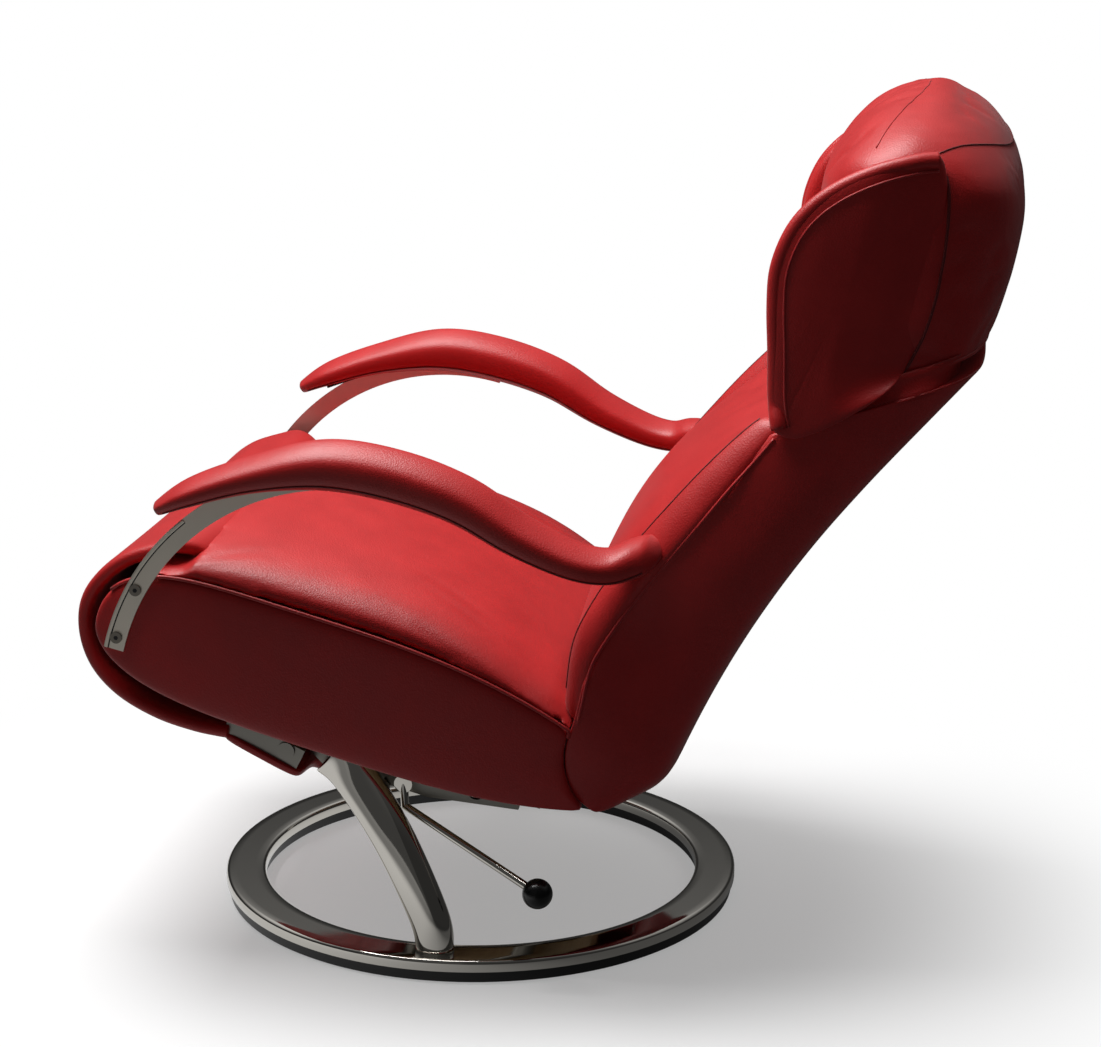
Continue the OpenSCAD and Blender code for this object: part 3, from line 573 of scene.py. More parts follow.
def buildSidePanel(side, shape):
    outline = panelOutline()
    spine = [Vector(p) for p in shape["spine"]]
    inner, outer = seatShape["half"] - seatShape["panel"], seatShape["half"]
    layers = [(inner + d, f) for d, f in shape["inner"]] + [(outer + d, f) for d, f in shape["outer"]]
    rings = []
    for x, share in layers:
        rings.append([place("seat", side * x, q.x, q.y) for q in towards(outline, spine, share)])
    name = sideName(side)
    makePad(name + "SidePanel", rings, 1, "chassis", 0.7, name + "_side_panel")
    levels = spread(shape["pipeFrom"], arcEnd[0] - 1, shape["pipeSteps"])
    line = [(v, panelTop(v) + shape["pipeLift"]) for v in levels]
    line += [(arcEnd[0] + v, arcEnd[1] + w) for v, w in shape["pipeEnd"]]
    edge = [place("seat", side * (outer - shape["pipeIn"]), v, w) for v, w in line]
    layTrim(name + "PanelPiping", [edge], shape["pipe"], pipingLeatherPaintedHighlight, "chassis")


for side in (1, -1):
    buildSidePanel(side, panelShape)
print("side panels built")

# padding: remesh, inflate as cloth with the seams pinned, cap the travel
padding = {
    "voxel": 6.5, "pressure": 4.0, "frames": 20, "stretch": 12, "bend": 0.6, "smoothing": 0.4, "passes": 2,
}


def inflate(obj, capMm, pinTest):
    remesh = obj.modifiers.new("Remesh", "REMESH")
    remesh.mode = "VOXEL"
    remesh.voxel_size = padding["voxel"] * mm
    applyModifiers(obj)
    rest = [v.co.copy() for v in obj.data.vertices]
    pins = obj.vertex_groups.new(name="seams")
    held = [v.index for v in obj.data.vertices if pinTest(v.co, v.normal)]
    pins.add(held, 1.0, "REPLACE")
    cloth = obj.modifiers.new("Cloth", "CLOTH")
    fabric = cloth.settings
    fabric.use_pressure = True
    fabric.uniform_pressure_force = padding["pressure"]
    fabric.effector_weights.gravity = 0
    fabric.vertex_group_mass = "seams"
    fabric.tension_stiffness = padding["stretch"]
    fabric.compression_stiffness = padding["stretch"]
    fabric.bending_stiffness = padding["bend"]
    cloth.point_cache.frame_start = 1
    cloth.point_cache.frame_end = padding["frames"]
    for f in range(1, padding["frames"] + 1):
        scene.frame_set(f)
    applyModifiers(obj)
    for v, r in zip(obj.data.vertices, rest):
        move = v.co - r
        if move.length > capMm * mm:
            v.co = r + move.normalized() * capMm * mm
    scene.frame_set(1)
    bm = bmesh.new()
    bm.from_mesh(obj.data)
    for _ in range(padding["passes"]):
        bmesh.ops.smooth_vert(bm, verts=bm.verts, factor=padding["smoothing"],
                              use_axis_x=True, use_axis_y=True, use_axis_z=True)
    bm.to_mesh(obj.data)
    bm.free()
    shadeMesh(obj.data)
    addSubdivision(obj, 1)


# seat cushion: a full middle between the panels, low under the flap in front and under the back behind
cushionShape = {
    "front": -262, "step": -217, "crest": 198.5, "rear": 265, "base": 24, "core": 9, "seam": 0.8,
    "points": 34,
    "noseCuts": [-262, -260, -252, -240, -229, -222, -213, -205], "middle": (-196, 258, 30),
    "rearCuts": [262, 264, 265],
    "crown": 50, "arch": (0.84, 0.16), "fall": 0.45, "fallOver": (0.72, 0.28), "fallPower": 2.2,
    "rearDrop": 0.6, "tuck": (13, 20), "tuckTo": 4, "inset": 3, "waist": 5, "noseIn": 6, "noseOver": 45,
    "dome": 0.72, "box": 0.62, "swell": 10, "pinOver": 4, "pinFront": 10, "pinRear": 12,
}


def alongSeat(v):
    return clamp01((v - cushionShape["step"]) / (cushionShape["crest"] - cushionShape["step"]))


def seatRise(v):
    shape = cushionShape
    if v < shape["step"] - shape["tuckTo"]:
        return lerp(*shape["tuck"], (v - shape["front"]) / (shape["step"] - shape["front"]))
    q = alongSeat(v)
    start, over = shape["fallOver"]
    level, arch = shape["arch"]
    fall = max(0, (q - start) / over) ** shape["fallPower"]
    rise = shape["crown"] * (1 - shape["fall"] * fall) * (level + arch * sin(pi * q))
    return rise * lerp(1, shape["rearDrop"], ease((v - shape["crest"]) / (shape["rear"] - shape["crest"])))


def buildSeatCushion(shape):
    coreX = seatShape["half"] - seatShape["panel"] - shape["core"]
    base = shape["base"]
    rings = []
    for v in shape["noseCuts"] + spread(*shape["middle"]) + shape["rearCuts"]:
        s = panelTop(v) + shape["seam"]
        waist = shape["waist"] * sin(pi * alongSeat(v))
        noseIn = shape["noseIn"] * ease((shape["step"] - v) / shape["noseOver"])
        half = seatShape["half"] - shape["inset"] - waist - noseIn
        section = [(coreX, base), (coreX, lerp(base, s, 0.5)), (coreX, s - 1)]
        section += [(x, s + lift) for x, lift in dome(half, seatRise(v), shape)]
        section += [(-coreX, s - 1), (-coreX, lerp(base, s, 0.5)), (-coreX, base)]
        rings.append([place("seat", x, v, w) for x, w in section])
    cushion = loft("seatCushion", rings, redLeather)

    def held(co, normal):
        v, w = local("seat", co)
        seam = panelTop(max(-300, min(arcEnd[0], v))) + shape["pinOver"]
        return w < seam or v < shape["step"] + shape["pinFront"] or v > shape["rear"] - shape["pinRear"]

    inflate(cushion, shape["swell"], held)
    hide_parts("seat_cushion")
    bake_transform(cushion)


buildSeatCushion(cushionShape)
print("seat cushion built")

# front flap: a padded leather sheet round the nose of the seat
flapShape = {
    "line": [(-166, 90), (-190, 104), (-216, 112), (-240, 107), (-262, 95), (-298, 70), (-322, 36), (-331, 2),
             (-322, -36), (-299, -68), (-262, -90), (-214, -101), (-172, -102), (-148, -100), (-127, -97)],
    "half": 311, "thick": 18, "steps": 4, "across": 24, "crowd": 0.8, "bulge": 2.5,
    "tuck": 14, "narrow": 0.84, "sag": 30, "sagPower": 6,
}


def buildFlap(shape):
    bm = bmesh.new()
    line = spline([(v, w, 0) for v, w in shape["line"]], shape["steps"])
    reach = shape["half"] - shape["thick"] / 2
    rows = []
    for i in range(shape["across"] + 1):
        t = signedPower(2 * i / shape["across"] - 1, shape["crowd"])  # finer towards the sides
        bulge = shape["bulge"] * (1 - t * t)
        row = []
        for k, p in enumerate(line):
            d = heading(line, k).normalized()
            out = Vector((d.y, -d.x)) * -bulge
            free = ease(k / shape["tuck"])
            x = t * lerp(shape["narrow"], 1, free) * reach
            drop = shape["sag"] * t ** shape["sagPower"] * (1 - free)
            row.append(place("seat", x, p.x + out.x, p.y + out.y - drop))
        rows.append(row)
    chains = [addLoop(bm, row, closed=False) for row in rows]
    for low, high in zip(chains, chains[1:]):
        bmesh.ops.bridge_loops(bm, edges=low + high)
    bmesh.ops.recalc_face_normals(bm, faces=bm.faces)
    flap = makeObject("frontFlap", bm, redLeather)
    solid = flap.modifiers.new("Thickness", "SOLIDIFY")
    solid.thickness = shape["thick"] * mm
    solid.offset = 0
    solid.use_even_offset = True
    addSubdivision(flap, 2)
    applyModifiers(flap)
    shadeMesh(flap.data)
    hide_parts("front_flap")
    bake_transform(flap)


buildFlap(flapShape)
print("front flap built")

# back: one cover over sides and rear, from the rounded foot up to the slanted top
backShape = {
    "side": 303, "foot": 322, "flare": (30, 180), "taper": (230, 25),
    "front": 110, "hollow": (32, 75), "frontLean": (0.02, 250),
    "rear": -16, "heel": (61, 380, 391), "rearLean": (0.03, 430),
    "turn": (-27, 62), "knuckle": 91.2, "frontTop": 385, "rearTop": 595,
    "footCuts": (-89.6, -87, -80, -70, -56, -40, -24, -8, 8, 22),
    "toe": (12, 102), "toeRear": (-6, 44), "toeOver": (60, 76), "toeDeep": 125, "toeIn": 9, "toeLip": 0.4,
    "bodyFrom": 32, "cuts": 16, "topCuts": [0.965, 0.985, 1.0], "sideAt": 0.4,
}


def backFront(b):
    deep, over = backShape["hollow"]
    lean, start = backShape["frontLean"]
    return -(backShape["front"] + deep * (1 - exp(-max(0, b) / over)) + lean * max(0, b - start))


def backRear(b):
    deep, top, over = backShape["heel"]
    lean, start = backShape["rearLean"]
    return backShape["rear"] + deep * (max(0, top - b) / over) ** 2 + lean * max(0, b - start)


def backHalf(b):
    below, over = backShape["flare"]
    start, run = backShape["taper"]
    return lerp(backShape["foot"], backShape["side"], ease((b + below) / over)) - max(0, b - start) / run


def footFront(b):  # the round knuckle below runs over into the front in one smooth curve
    r = backShape["knuckle"]
    low, high = backShape["turn"]
    if b >= high:
        return backFront(b)
    if b <= low:
        return -sqrt(max(0, r * r - b * b))
    t, span = (b - low) / (high - low), high - low
    y0, y1 = -sqrt(r * r - low * low), backFront(high)
    m0, m1 = low / -y0 * span, (backFront(high + 1) - y1) * span
    return (y0 * (2 * t ** 3 - 3 * t * t + 1) + m0 * (t ** 3 - 2 * t * t + t) + y1 * (3 * t * t - 2 * t ** 3)
            + m1 * (t ** 3 - t * t))


def backSection(front, rear, half, c, lip=1):  # half an outline from rear to front, then its mirror
    side = [(0, rear + 2 * c), (half * 0.5, rear + 2 * c), (half - 60 * c, rear),
            (half - 26 * c, rear - 9 * c), (half - 8 * c, rear - 30 * c), (half - 1, lerp(front, rear, 0.55)),
            (half, lerp(front, rear, 0.28)), (half - 0.5, front + 10 * c * lip),
            (half - 4 * c * lip, front + 2 * c * lip), (half - 14 * c * lip, front),
            (half * 0.6, front), (0, front)]
    return side + [(-x, y) for x, y in reversed(side[1:-1])]


def buildBackCover(shape):
    rings = []
    toeTop, toeRound = shape["toe"]
    toeRear, toeFull = shape["toeRear"]
    below, over = shape["toeOver"]
    for b in shape["footCuts"]:
        front = footFront(b)
        low = sqrt(max(0, 1 - ((b - toeTop) / toeRound) ** 2)) if b < toeTop else 1
        rear = lerp(toeRear + toeFull * low, backRear(b), ease((b + below) / over))
        corner = min(1, (rear - front) / shape["toeDeep"])
        half = backHalf(b) - shape["toeIn"] * (1 - corner)
        section = backSection(front, rear, half, corner, shape["toeLip"])
        rings.append([place("back", x, y, b) for x, y in section])
    for t in [k / shape["cuts"] for k in range(shape["cuts"])] + shape["topCuts"]:
        bf = lerp(shape["bodyFrom"], shape["frontTop"], t)
        br = lerp(shape["bodyFrom"], shape["rearTop"], t)
        front, rear = footFront(bf), backRear(br)
        slope = (br - bf) / (rear - front)
        section = backSection(front, rear, backHalf(lerp(bf, br, shape["sideAt"])), 1)
        rings.append([place("back", x, y, bf + (y - front) * slope) for x, y in section])
    return makePad("backCover", rings, 2, "back", 0.8, "back_shell", "back_lower_rail", "back_cheeks")


backCover = buildBackCover(backShape)

# bolsters: soft rolls down both front edges, a seam along the crest and piping along the side
bolsterShape = {
    "low": -22, "high": 402, "wide": 32, "deep": 36, "inset": 30, "forward": 2, "steps": 28, "sides": 24,
    "slope": 0.5, "swell": (0.05, 0.91, 0.35), "peak": 1.35,
    "seam": 1.2, "seamSpan": (-12, 392, 60), "seamOut": 3, "seamFrom": (40, 4),
    "pipe": 1.9, "pipeFrom": -14, "pipeSteps": 70, "pipeIn": 0.2, "pipeBehind": 6, "pipeLift": 0.4,
    "flatOver": (300, 60),
}


def buildBolster(side, shape):
    rings = []
    start, run, power = shape["swell"]
    for t in spread(0, 1, shape["steps"]):
        b = lerp(shape["low"], shape["high"], t)
        slope = shape["slope"] * t ** 3
        swell = sin(pi * clamp01(start + run * t)) ** power
        middle, front = backHalf(b) - shape["inset"], footFront(b) + shape["forward"]
        ring = []
        for cx, cy in oval(shape["sides"], shape["peak"]):
            x, y = middle + shape["wide"] * swell * cx, front + shape["deep"] * swell * cy
            ring.append(place("back", side * x, y, b + (y - front) * slope))
        rings.append(ring)
    name = sideName(side)
    bolster = makePad(name + "Bolster", rings, 1, "back", 0.7)
    ahead, above = shape["seamFrom"]
    crest = []
    for b in spread(*shape["seamSpan"]):
        x = backHalf(b) - shape["inset"] + shape["seamOut"]
        crest.append(place("back", side * x, footFront(b) - ahead, b + above))
    layTrim(name + "BolsterSeam", [crest], shape["seam"], seamLeatherPaintedShade, "back", surfaceOf(bolster))
    levels = spread(shape["pipeFrom"], backShape["frontTop"] - 1, shape["pipeSteps"])
    edge = []
    for b in levels:
        x = backHalf(b) - shape["pipeIn"]
        edge.append(place("back", side * x, footFront(b) + shape["pipeBehind"], b))
    laid = layOn(edge, surfaceOf(backCover), shape["pipeLift"] * mm)
    start, run = shape["flatOver"]  # lies flat at the shoulder
    line = [free.lerp(flat, ease((b - start) / run)) for b, free, flat in zip(levels, edge, laid)]
    layTrim(name + "BackPiping", [line], shape["pipe"], pipingLeatherPaintedHighlight, "back")


for side in (1, -1):
    buildBolster(side, bolsterShape)

# back cushion between the bolsters, fullest in the middle, its top slanted with the back's
backPadShape = {
    "foot": -4, "rise": 31, "top": 374, "footCuts": [-4, 0, 8, 16, 24, 30.4], "middle": (33, 22),
    "points": 30,
    "slope": 1.538, "lip": (2, -117.5), "rearAt": 95, "panel": 43.5, "sideAt": 40, "bolster": 59, "over": 4,
    "footIn": 10, "footOver": 36, "core": 6, "seam": 0.4, "waist": 3,
    "crown": 50, "flat": 0.86, "dome": 0.75, "box": 0.6, "swell": 8, "pinSide": 6, "pinFoot": 6,
}


def buildBackCushion(shape):
    rings = []
    foot, rise, top = shape["foot"], shape["rise"], shape["top"]
    first, cuts = shape["middle"]
    ahead, least = shape["lip"]
    for b in shape["footCuts"] + spread(first, top, cuts):
        k = clamp01((b - foot) / (top - foot))
        t = clamp01((b - rise) / (top - rise))
        slope = shape["slope"] * t * t
        lip = min(backFront(b) + ahead, least)
        rear = lip + 1 if b < rise else backRear(b + shape["rearAt"] * slope) - shape["panel"]
        footIn = 0 if b > rise else shape["footIn"] * (1 - ease((b - foot) / shape["footOver"]))
        half = backHalf(b + shape["sideAt"] * slope) - shape["bolster"] + shape["over"] - footIn
        crown = shape["crown"] * sqrt(max(0, 1 - (2 * k - 1) ** 2 * shape["flat"]))
        wide = half - shape["waist"] * sin(pi * k)
        core, seam = half - shape["core"], lip + shape["seam"]
        section = [(core, rear), (core, seam)]
        section += [(x, lip - lift) for x, lift in dome(wide, crown, shape)]
        section += [(-core, seam), (-core, rear)]
        rings.append([place("back", x, y, b + (y - lip) * slope) for x, y in section])
    cushion = loft("backCushion", rings, redLeather)

    def held(co, normal):
        y, b = local("back", co)
        edge = backHalf(b) - shape["bolster"] - shape["pinSide"]
        return y > backFront(b) + ahead or abs(co.x) / mm > edge or b < shape["pinFoot"]

    inflate(cushion, shape["swell"], held)
    upholster(cushion, "back", 0.75, "back_cushion")


buildBackCushion(backPadShape)
print("back built")

# headrest cushion: height, half width, front and rear of each level; the foot follows the back's slanted top
headShape = {
    "slope": 30.06, "base": 2.5, "roundness": 0.52, "points": 56,
    "levels": [(0, 272, -50, 134), (8, 276, -54, 138), (40, 278, -58, 139), (90, 278, -66, 140),
               (140, 278, -75, 140), (190, 278, -85, 139.5), (225, 278, -88, 139), (250, 278, -84, 136),
               (268, 277, -77, 129), (284, 273, -67, 118), (298, 264, -55, 104), (310, 248, -42, 89),
               (321, 222, -27, 73), (330, 184, -13, 58), (338, 136, -3, 45), (343, 82, 5, 34),
               (345, 30, 12, 24)],
    "footTo": 90, "crownRound": (0.85, 260, 80), "droop": 14, "droopWide": 278, "droopOver": (200, 100),
    "swell": 7, "pinBelow": -0.35,
}


def headBase(y):
    return headShape["base"] + tan(radians(headShape["slope"])) * y


def buildHeadCushion(shape):
    rings = []
    footTo = shape["footTo"]
    crownRound, crownFrom, crownOver = shape["crownRound"]
    droopFrom, droopOver = shape["droopOver"]
    for z, half, front, rear in shape["levels"]:
        middle, deep = (front + rear) / 2, (rear - front) / 2
        power = lerp(shape["roundness"], crownRound, ease((z - crownFrom) / crownOver))
        ring = []
        for cx, cy in oval(shape["points"], power):
            x, y = half * cx, middle + deep * cy
            low = headBase(y) + 1
            fall = 1 - cos(pi / 2 * clamp01(abs(x) / shape["droopWide"]))
            drop = shape["droop"] * fall * ease((z - droopFrom) / droopOver)
            ring.append(place("head", x, y, lerp(low, footTo, z / footTo) if z < footTo else z - drop))
        rings.append(ring)
    cushion = loft("headCushion", rings, redLeather)

    def held(co, normal):
        return normal.z < shape["pinBelow"]

    inflate(cushion, shape["swell"], held)
    upholster(cushion, "headrest", 0.7, "head_cushion")
    return cushion


headCushion = buildHeadCushion(headShape)

# a seam over the crown, one round the rear of the crown, a welt round the foot
headTrim = {
    "seam": 1.1, "seamLift": 0.1, "welt": 2.4, "weltLift": 0.6,
    "overWide": 236, "overStep": 8, "behindWide": 266, "behindStep": 7,
    "rimHalf": 275, "rimMiddle": 42, "rimDeep": 93, "rimUp": 6, "rimSpan": (0.02, 0.96), "rimSteps": 48,
}


def buildHeadSeams(shape):
    tree = surfaceOf(headCushion)
    over = []
    for x in range(-shape["overWide"], shape["overWide"] + 1, shape["overStep"]):
        over.append(place("head", x, -6 - 22 * (abs(x) / 180) ** 1.4, 345 - 55 * (abs(x) / 200) ** 2))
    layTrim("headCrownSeam", [over], shape["seam"], pipingLeatherPaintedHighlight, "headrest", tree, shape["seamLift"])
    behind = []
    wide = shape["behindWide"]
    for x in range(-wide, wide + 1, shape["behindStep"]):
        share = abs(x) / wide
        behind.append(place("head", x, 24 + 92 * (1 - share ** 2.2), 300 - 10 * share ** 2))
    layTrim("headSeams", [behind], shape["seam"], seamLeatherPaintedShade, "headrest", tree, shape["seamLift"])
    rim = []
    start, run = shape["rimSpan"]
    for k in range(shape["rimSteps"] + 1):
        a = pi * (start + run * k / shape["rimSteps"])
        x = shape["rimHalf"] * signedPower(cos(a), headShape["roundness"])
        y = shape["rimMiddle"] + shape["rimDeep"] * signedPower(sin(a), headShape["roundness"])
        rim.append(place("head", x, y, headBase(y) + shape["rimUp"]))
    layTrim("headWelt", [rim], shape["welt"], pipingLeatherPaintedHighlight, "headrest", tree, shape["weltLift"])


buildHeadSeams(headTrim)

# soft leather sleeve that closes the gap between back and headrest
gussetShape = {
    "low": (291, -134, -22), "high": (274, -40, 124), "flare": 20, "waist": 4, "corner": 0.36,
    "sink": 14, "rise": 12, "points": 44, "steps": 4,
}


def buildGusset(shape):
    n = shape["points"]
    front, rear = footFront(backShape["frontTop"]), backRear(backShape["rearTop"])
    slope = (backShape["rearTop"] - backShape["frontTop"]) / (rear - front)
    loops = []
    for t in spread(0, 1, shape["steps"]):
        tuck = shape["waist"] * sin(pi * t)
        ring = []
        for cx, cy in oval(n, shape["corner"]):
            half, y0, y1 = shape["low"]
            y = lerp(y0, y1, 0.5 + 0.5 * cy)
            low = place("back", half * cx, y, backShape["frontTop"] + (y - front) * slope - shape["sink"])
            half, y0, y1 = shape["high"]
            y = lerp(y0, y1, 0.5 + 0.5 * cy)
            half += shape["flare"] * (0.5 - 0.5 * cy)
            high = place("head", half * cx, y, headBase(y) + shape["rise"])
            ring.append(low.lerp(high, t) - Vector((cx, cy, 0)) * tuck * mm)
        loops.append(ring)
    gusset = loft("neckGusset", loops, redLeather)
    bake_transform(gusset)


buildGusset(gussetShape)

# wings: side view from the lower lobe up the front, over the top and down the rear
wingShape = {
    "line": [(-72, -50), (-84, -20), (-98, 34), (-111, 82), (-118, 124), (-113, 166), (-98, 200), (-72, 231),
             (-36, 259), (2, 279), (26, 287), (42, 262), (53, 222), (60, 172), (62, 124), (59, 80), (50, 40),
             (20, 0), (-18, -36), (-46, -54), (-66, -54)],
    "spine": ((5, -52), (215, -22)),
    "layers": [(0.6, 0.02), (0.3, 0.0), (0.1, 0.02), (0.03, 0.16), (0.0, 0.42), (0.0, 0.62), (0.03, 0.86),
               (0.09, 0.97), (0.3, 1.02), (0.6, 1.05)],
    "inner": 266, "lobe": 299, "rear": 282, "outer": 302, "least": 4,
    "onHead": (6, 26), "frontFrom": (64, 105),
    "rim": 9.5, "rimTo": 11, "rimIn": 7, "rimAt": 0.72, "pipe": 1.5, "pipeIn": 18, "pipeLift": 0.6,
    "seam": 1.7, "seamBehind": 1.5, "seamLift": 0.4,
}


def wingAt(side, y, z, depth):
    shape = wingShape
    up, over = shape["onHead"]
    start, run = shape["frontFrom"]
    inner = lerp(shape["lobe"], shape["inner"], ease((z - headBase(y) + up) / over))
    outer = shape["rear"] + (shape["outer"] - shape["rear"]) * ease((start - y) / run)
    outer = max(inner + shape["least"], outer)
    return place("head", side * lerp(inner, outer, depth), y, z)


def buildWing(side, shape):
    line = spline([(z, y, 0) for y, z in shape["line"] + shape["line"][:1]], 3)[:-1]
    outline = [Vector((p.x, p.y)) for p in line]
    spine = [Vector(p) for p in shape["spine"]]
    rings = []
    for share, depth in shape["layers"]:
        rings.append([wingAt(side, q.y, q.x, depth) for q in towards(outline, spine, share)])
    name = sideName(side)
    wing = makePad(name + "Wing", rings, 1, "headrest", 0.6, name + "_wing")
    edge = spline([(y, z, 0) for y, z in shape["line"][:shape["rimTo"]]], 6)
    rim, pipe = [], []
    for i, p in enumerate(edge):
        d = heading(edge, i).normalized()
        inY, inZ = d.y, -d.x
        rim.append(wingAt(side, p.x + shape["rimIn"] * inY, p.y + shape["rimIn"] * inZ, shape["rimAt"]))
        pipe.append(wingAt(side, p.x + shape["pipeIn"] * inY, p.y + shape["pipeIn"] * inZ, 1.0))
    bm = bmesh.new()
    tubeAlong(bm, rim, shape["rim"] * mm, sides=14)
    roll = makeObject(name + "WingRim", bm, redLeather)
    upholster(roll, "headrest", 0.7)
    layTrim(name + "WingPiping", [pipe], shape["pipe"], pipingLeatherPaintedHighlight, "headrest",
            surfaceOf(wing), shape["pipeLift"])
    rear = [(y + shape["seamBehind"], z, 0) for y, z in shape["line"][shape["rimTo"] - 1:-4]]
    seam = [wingAt(side, p.x, p.y, 1.0) for p in spline(rear, 5)]
    layTrim(name + "WingSeam", [seam], shape["seam"], seamLeatherPaintedShade, "headrest",
            surfaceOf(headCushion), shape["seamLift"])


for side in (1, -1):
    buildWing(side, wingShape)
print("headrest built")

# arms: y, z and half thickness along the arm, with its middle and share of the full width beside them
armShape = {
    "line": [(-312, 574, 8), (-268, 597, 16), (-196, 620, 21), (-112, 634, 29), (-32, 624, 30), (44, 599, 28),
             (108, 561, 24), (168, 534, 21), (208, 526, 20), (236, 532, 21), (250, 537, 19), (259, 540, 14),
             (265, 543, 7)],
    "centre": [341, 341, 341, 341, 341, 341, 340, 338, 331, 318, 309, 298, 285],
    "width": [0.72, 1, 1, 1, 1, 1, 1, 0.98, 0.96, 0.96, 0.86, 0.64, 0.34],
    "wide": 76, "sides": 26, "steps": 6, "nose": (0.55, 0.45, 5), "belly": 0.8,
    "crest": (1.28, 0.92, 0.64, 0.1),
    "seam": 1.2, "seamAngle": -0.62, "seamFrom": 2, "seamStop": 14, "seamLift": 0.2,
}


def buildArm(side, shape):
    line = spline(shape["line"], shape["steps"])
    across = spline([(c, w, 0) for c, w in zip(shape["centre"], shape["width"])], shape["steps"])
    n = len(line) - 1
    blunt, point, noseSteps = shape["nose"]
    sharp, full, start, run = shape["crest"]

    def spot(i, angle):
        p, d = line[i], heading(line, i)
        flat = hypot(d.x, d.y)
        nose = min(1, blunt + point * sqrt(clamp01(i / noseSteps)))
        crest = lerp(sharp, full, ease((i / n - start) / run))
        power = lerp(shape["belly"], crest, max(0, sin(angle)))
        x = shape["wide"] / 2 * across[i].y * nose * signedPower(cos(angle), power)
        t = p.z * signedPower(sin(angle), power)
        return Vector((side * (across[i].x + x), p.x - d.y / flat * t, p.y + d.x / flat * t)) * mm

    turns = [2 * pi * k / shape["sides"] for k in range(shape["sides"])]
    rings = [[spot(i, a) for a in turns] for i in range(n + 1)]
    name = sideName(side)
    arm = makePad(name + "ArmPad", rings, 1, name + "_arm", 0.7, name + "_arm_pad")
    stretch = range(shape["seamFrom"], n - shape["seamStop"])
    seams = [[spot(i, angle) for i in stretch] for angle in (shape["seamAngle"], pi - shape["seamAngle"])]
    layTrim(name + "ArmSeam", seams, shape["seam"], seamLeatherPaintedShade, name + "_arm",
            surfaceOf(arm), shape["seamLift"])


for side in (1, -1):
    buildArm(side, armShape)
print("arms built")

# footrest pad, folded under the seat: height and inset of each level, wide in front and stepped in behind
padShape = {
    "at": (-146, -130), "tilt": 11.5, "long": 153, "step": 113, "wide": 299, "narrow": 210, "thick": 27,
    "levels": [(0, 40), (0.4, 20), (1.5, 9), (4, 3), (8, 0.5), (26, 0.3), (27, 1.5)],
    "edge": 15, "edgeOver": (130, 160), "lip": 8, "lipOver": (268, 20),
    "frontCorner": (16, 12), "rearCorner": (10, 8),
}


def buildFootPad(shape):
    a = radians(shape["tilt"])
    edgeFrom, edgeRun = shape["edgeOver"]
    lipFrom, lipRun = shape["lipOver"]

    def spot(x, l, z):
        edge = shape["edge"] * ease((abs(x) - edgeFrom) / edgeRun) * (1 - z / shape["thick"])
        z += edge + shape["lip"] * ease((abs(x) - lipFrom) / lipRun)
        v = shape["at"][0] + l * cos(a) + z * sin(a)
        w = shape["at"][1] - l * sin(a) + z * cos(a)
        return place("seat", x, v, w)

    frontX, frontL = shape["frontCorner"]
    rearX, rearL = shape["rearCorner"]
    rings = []
    for z, e in shape["levels"]:
        w, m, s, l = shape["wide"] - e, shape["narrow"] - e, shape["step"] - e, shape["long"] - e
        half = [(0, e), (w * 0.5, e), (w - frontX, e), (w, e + frontL), (w, (s + e) / 2), (w, s - rearL),
                (w - rearX, s), (m, s), (m, (s + l) / 2), (m, l), (m * 0.5, l), (0, l)]
        corners = half + [(-x, y) for x, y in half[-2:0:-1]]
        rings.append([spot(x, y, z) for x, y in corners])
    makePad("footrestPad", rings, 2, "footrest", 0.6, "footrest_pad", "footrest_board")


buildFootPad(padShape)
print("footrest pad built")

white = linear("#FFFFFF")


def rampEnds(values):  # settings of a smooth ramp: from low, from high, to low, to high
    sockets = ("in_From_Min", "in_From_Max", "in_To_Min", "in_To_Max")
    return dict(zip(sockets, values), interpolation_type="SMOOTHSTEP")


# floor: the camera sees it fade to white round the chair; the chrome mirrors a darker floor, a painted
# reflection that glows brightest ahead of the chair and near it; other rays meet a dark grey
floorLook = {
    "size": 14.0, "grey": 0.66, "bounce": 0.17, "glow": 0.34, "fade": (0.42, 1.0, 0.0, 1.0),
    "ahead": (-0.35, 0.25, 0.62, 0.08), "near": (0.7, 1.3, 1.0, 0.32),
}


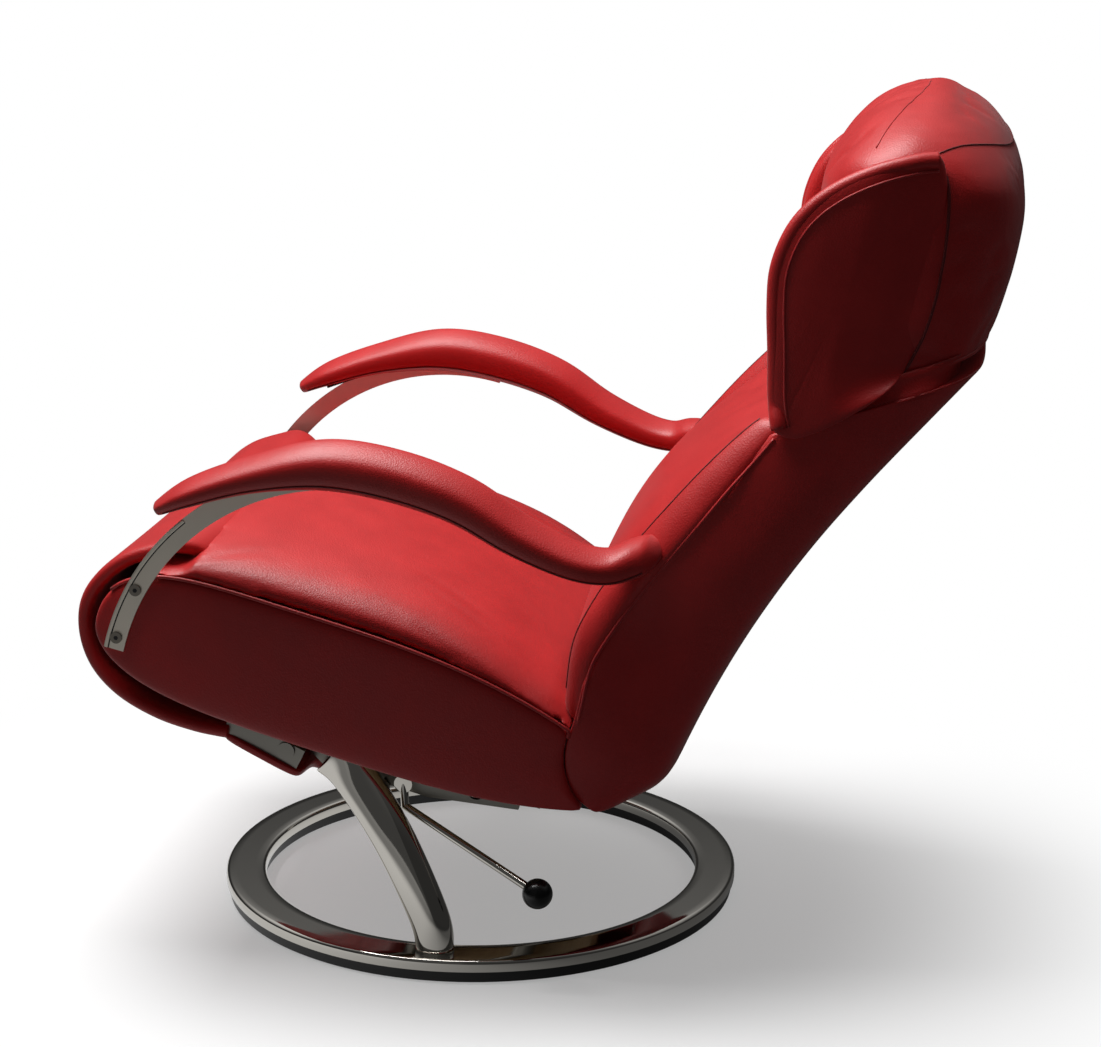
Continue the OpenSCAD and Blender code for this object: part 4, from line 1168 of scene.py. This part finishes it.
def buildFloor(look):
    bm = bmesh.new()
    bmesh.ops.create_grid(bm, x_segments=1, y_segments=1, size=look["size"])
    material, tree, shader, where = newMaterial("paleFloor")
    tree.nodes.remove(shader)
    far = node(tree, "VectorMath", where, operation="LENGTH")
    diffuse = node(tree, "BsdfDiffuse", in_Color=(look["grey"],) * 3 + (1,))
    glow = node(tree, "Emission", in_Strength=look["glow"], in_Color=white)
    lit = node(tree, "AddShader", [(diffuse, 0, 0), (glow, 0, 1)])
    plain = node(tree, "Emission", in_Strength=1.0, in_Color=white)
    fade = node(tree, "MapRange", [(far, "Value", "Value")], **rampEnds(look["fade"]))
    shown = node(tree, "MixShader", [(fade, "Result", "Fac"), (lit, 0, 1), (plain, 0, 2)])
    # painted reflection: to glossy rays the floor glows, brightest ahead of the chair and close to it
    spotAt = node(tree, "SeparateXYZ", where)
    ahead = node(tree, "MapRange", [(spotAt, "Y", "Value")], **rampEnds(look["ahead"]))
    near = node(tree, "MapRange", [(far, "Value", "Value")], **rampEnds(look["near"]))
    paintedReflection = node(tree, "Math", [(ahead, "Result", 0), (near, "Result", 1)], operation="MULTIPLY")
    reflectionGlow = node(tree, "Emission", [(paintedReflection, "Value", "Strength")], in_Color=white)
    bounce = node(tree, "BsdfDiffuse", in_Color=(look["bounce"],) * 3 + (1,))
    path = node(tree, "LightPath")
    unseen = node(tree, "MixShader",
                  [(path, "Is Glossy Ray", "Fac"), (bounce, 0, 1), (reflectionGlow, 0, 2)])
    both = node(tree, "MixShader",
                [(path, "Is Camera Ray", "Fac"), (unseen, 0, 1), (shown, 0, 2)])
    linkTo(tree, both, 0, tree.nodes["Material Output"], "Surface")
    floor = makeObject("paleFloor", bm, material, smooth=False)


buildFloor(floorLook)

# world: white to the camera; a room lit from above, the front and the far side, dark behind the camera
roomLook = {
    "above": (0.28, 0.80, 0.0, 0.75), "near": (-0.30, 0.45, 1.0, 0.05), "behind": (-0.2, 0.6, 1.0, 0.4),
    "least": 0.028,
}


def buildWorld(look):
    world = bpy.data.worlds.new("studio")
    scene.world = world
    world.use_nodes = True
    tree = world.node_tree
    room = tree.nodes["Background"]
    coords = node(tree, "TexCoord")
    parts = node(tree, "SeparateXYZ", [(coords, "Generated", "Vector")])
    above, near, behind = (node(tree, "MapRange", [(parts, axis, "Value")], **rampEnds(look[key]))
                           for axis, key in (("Z", "above"), ("X", "near"), ("Y", "behind")))
    upper = node(tree, "Math", [(above, "Result", 0), (behind, "Result", 1)], operation="MULTIPLY")
    level = node(tree, "Math", [(upper, "Value", 0), (near, "Result", 1)], operation="MULTIPLY_ADD")
    level.inputs[2].default_value = look["least"]
    linkTo(tree, level, "Value", room, "Strength")
    room.inputs["Color"].default_value = white
    plain = node(tree, "Background", in_Strength=1.0, in_Color=white)
    path = node(tree, "LightPath")
    seen = node(tree, "MixShader", [(path, "Is Camera Ray", "Fac"), (room, 0, 1), (plain, 0, 2)])
    linkTo(tree, seen, 0, tree.nodes["World Output"], "Surface")


buildWorld(roomLook)


def aim(obj, target):
    obj.rotation_euler = (Vector(target) - obj.location).to_track_quat("-Z", "Y").to_euler()


lamps = {
    "keySoftbox": {"at": (-0.06, -0.72, 3.0), "to": (-0.06, 0.05, 0.5), "size": 1.7, "watts": 100},
    "sideFill": {"at": (2.6, -0.9, 0.9), "to": (0, 0.0, 0.5), "size": 2.2, "watts": 0.4},
}
for name, setup in lamps.items():
    light = bpy.data.lights.new(name, "AREA")
    light.shape = "SQUARE"
    light.size = setup["size"]
    light.energy = setup["watts"]
    lamp = bpy.data.objects.new(name, light)
    scene.collection.objects.link(lamp)
    lamp.location = setup["at"]
    aim(lamp, setup["to"])

view = {"at": (3.170, 0.587, 1.334), "to": (0, 0.0916, 0.4834), "lens": 86.4, "sensor": 36}
lensData = bpy.data.cameras.new("photoCamera")
lensData.lens = view["lens"]
lensData.sensor_width = view["sensor"]
photoCamera = bpy.data.objects.new("photoCamera", lensData)
scene.collection.objects.link(photoCamera)
photoCamera.location = view["at"]
aim(photoCamera, view["to"])
scene.camera = photoCamera
scene.view_settings.view_transform = "Standard"
print("studio ready")
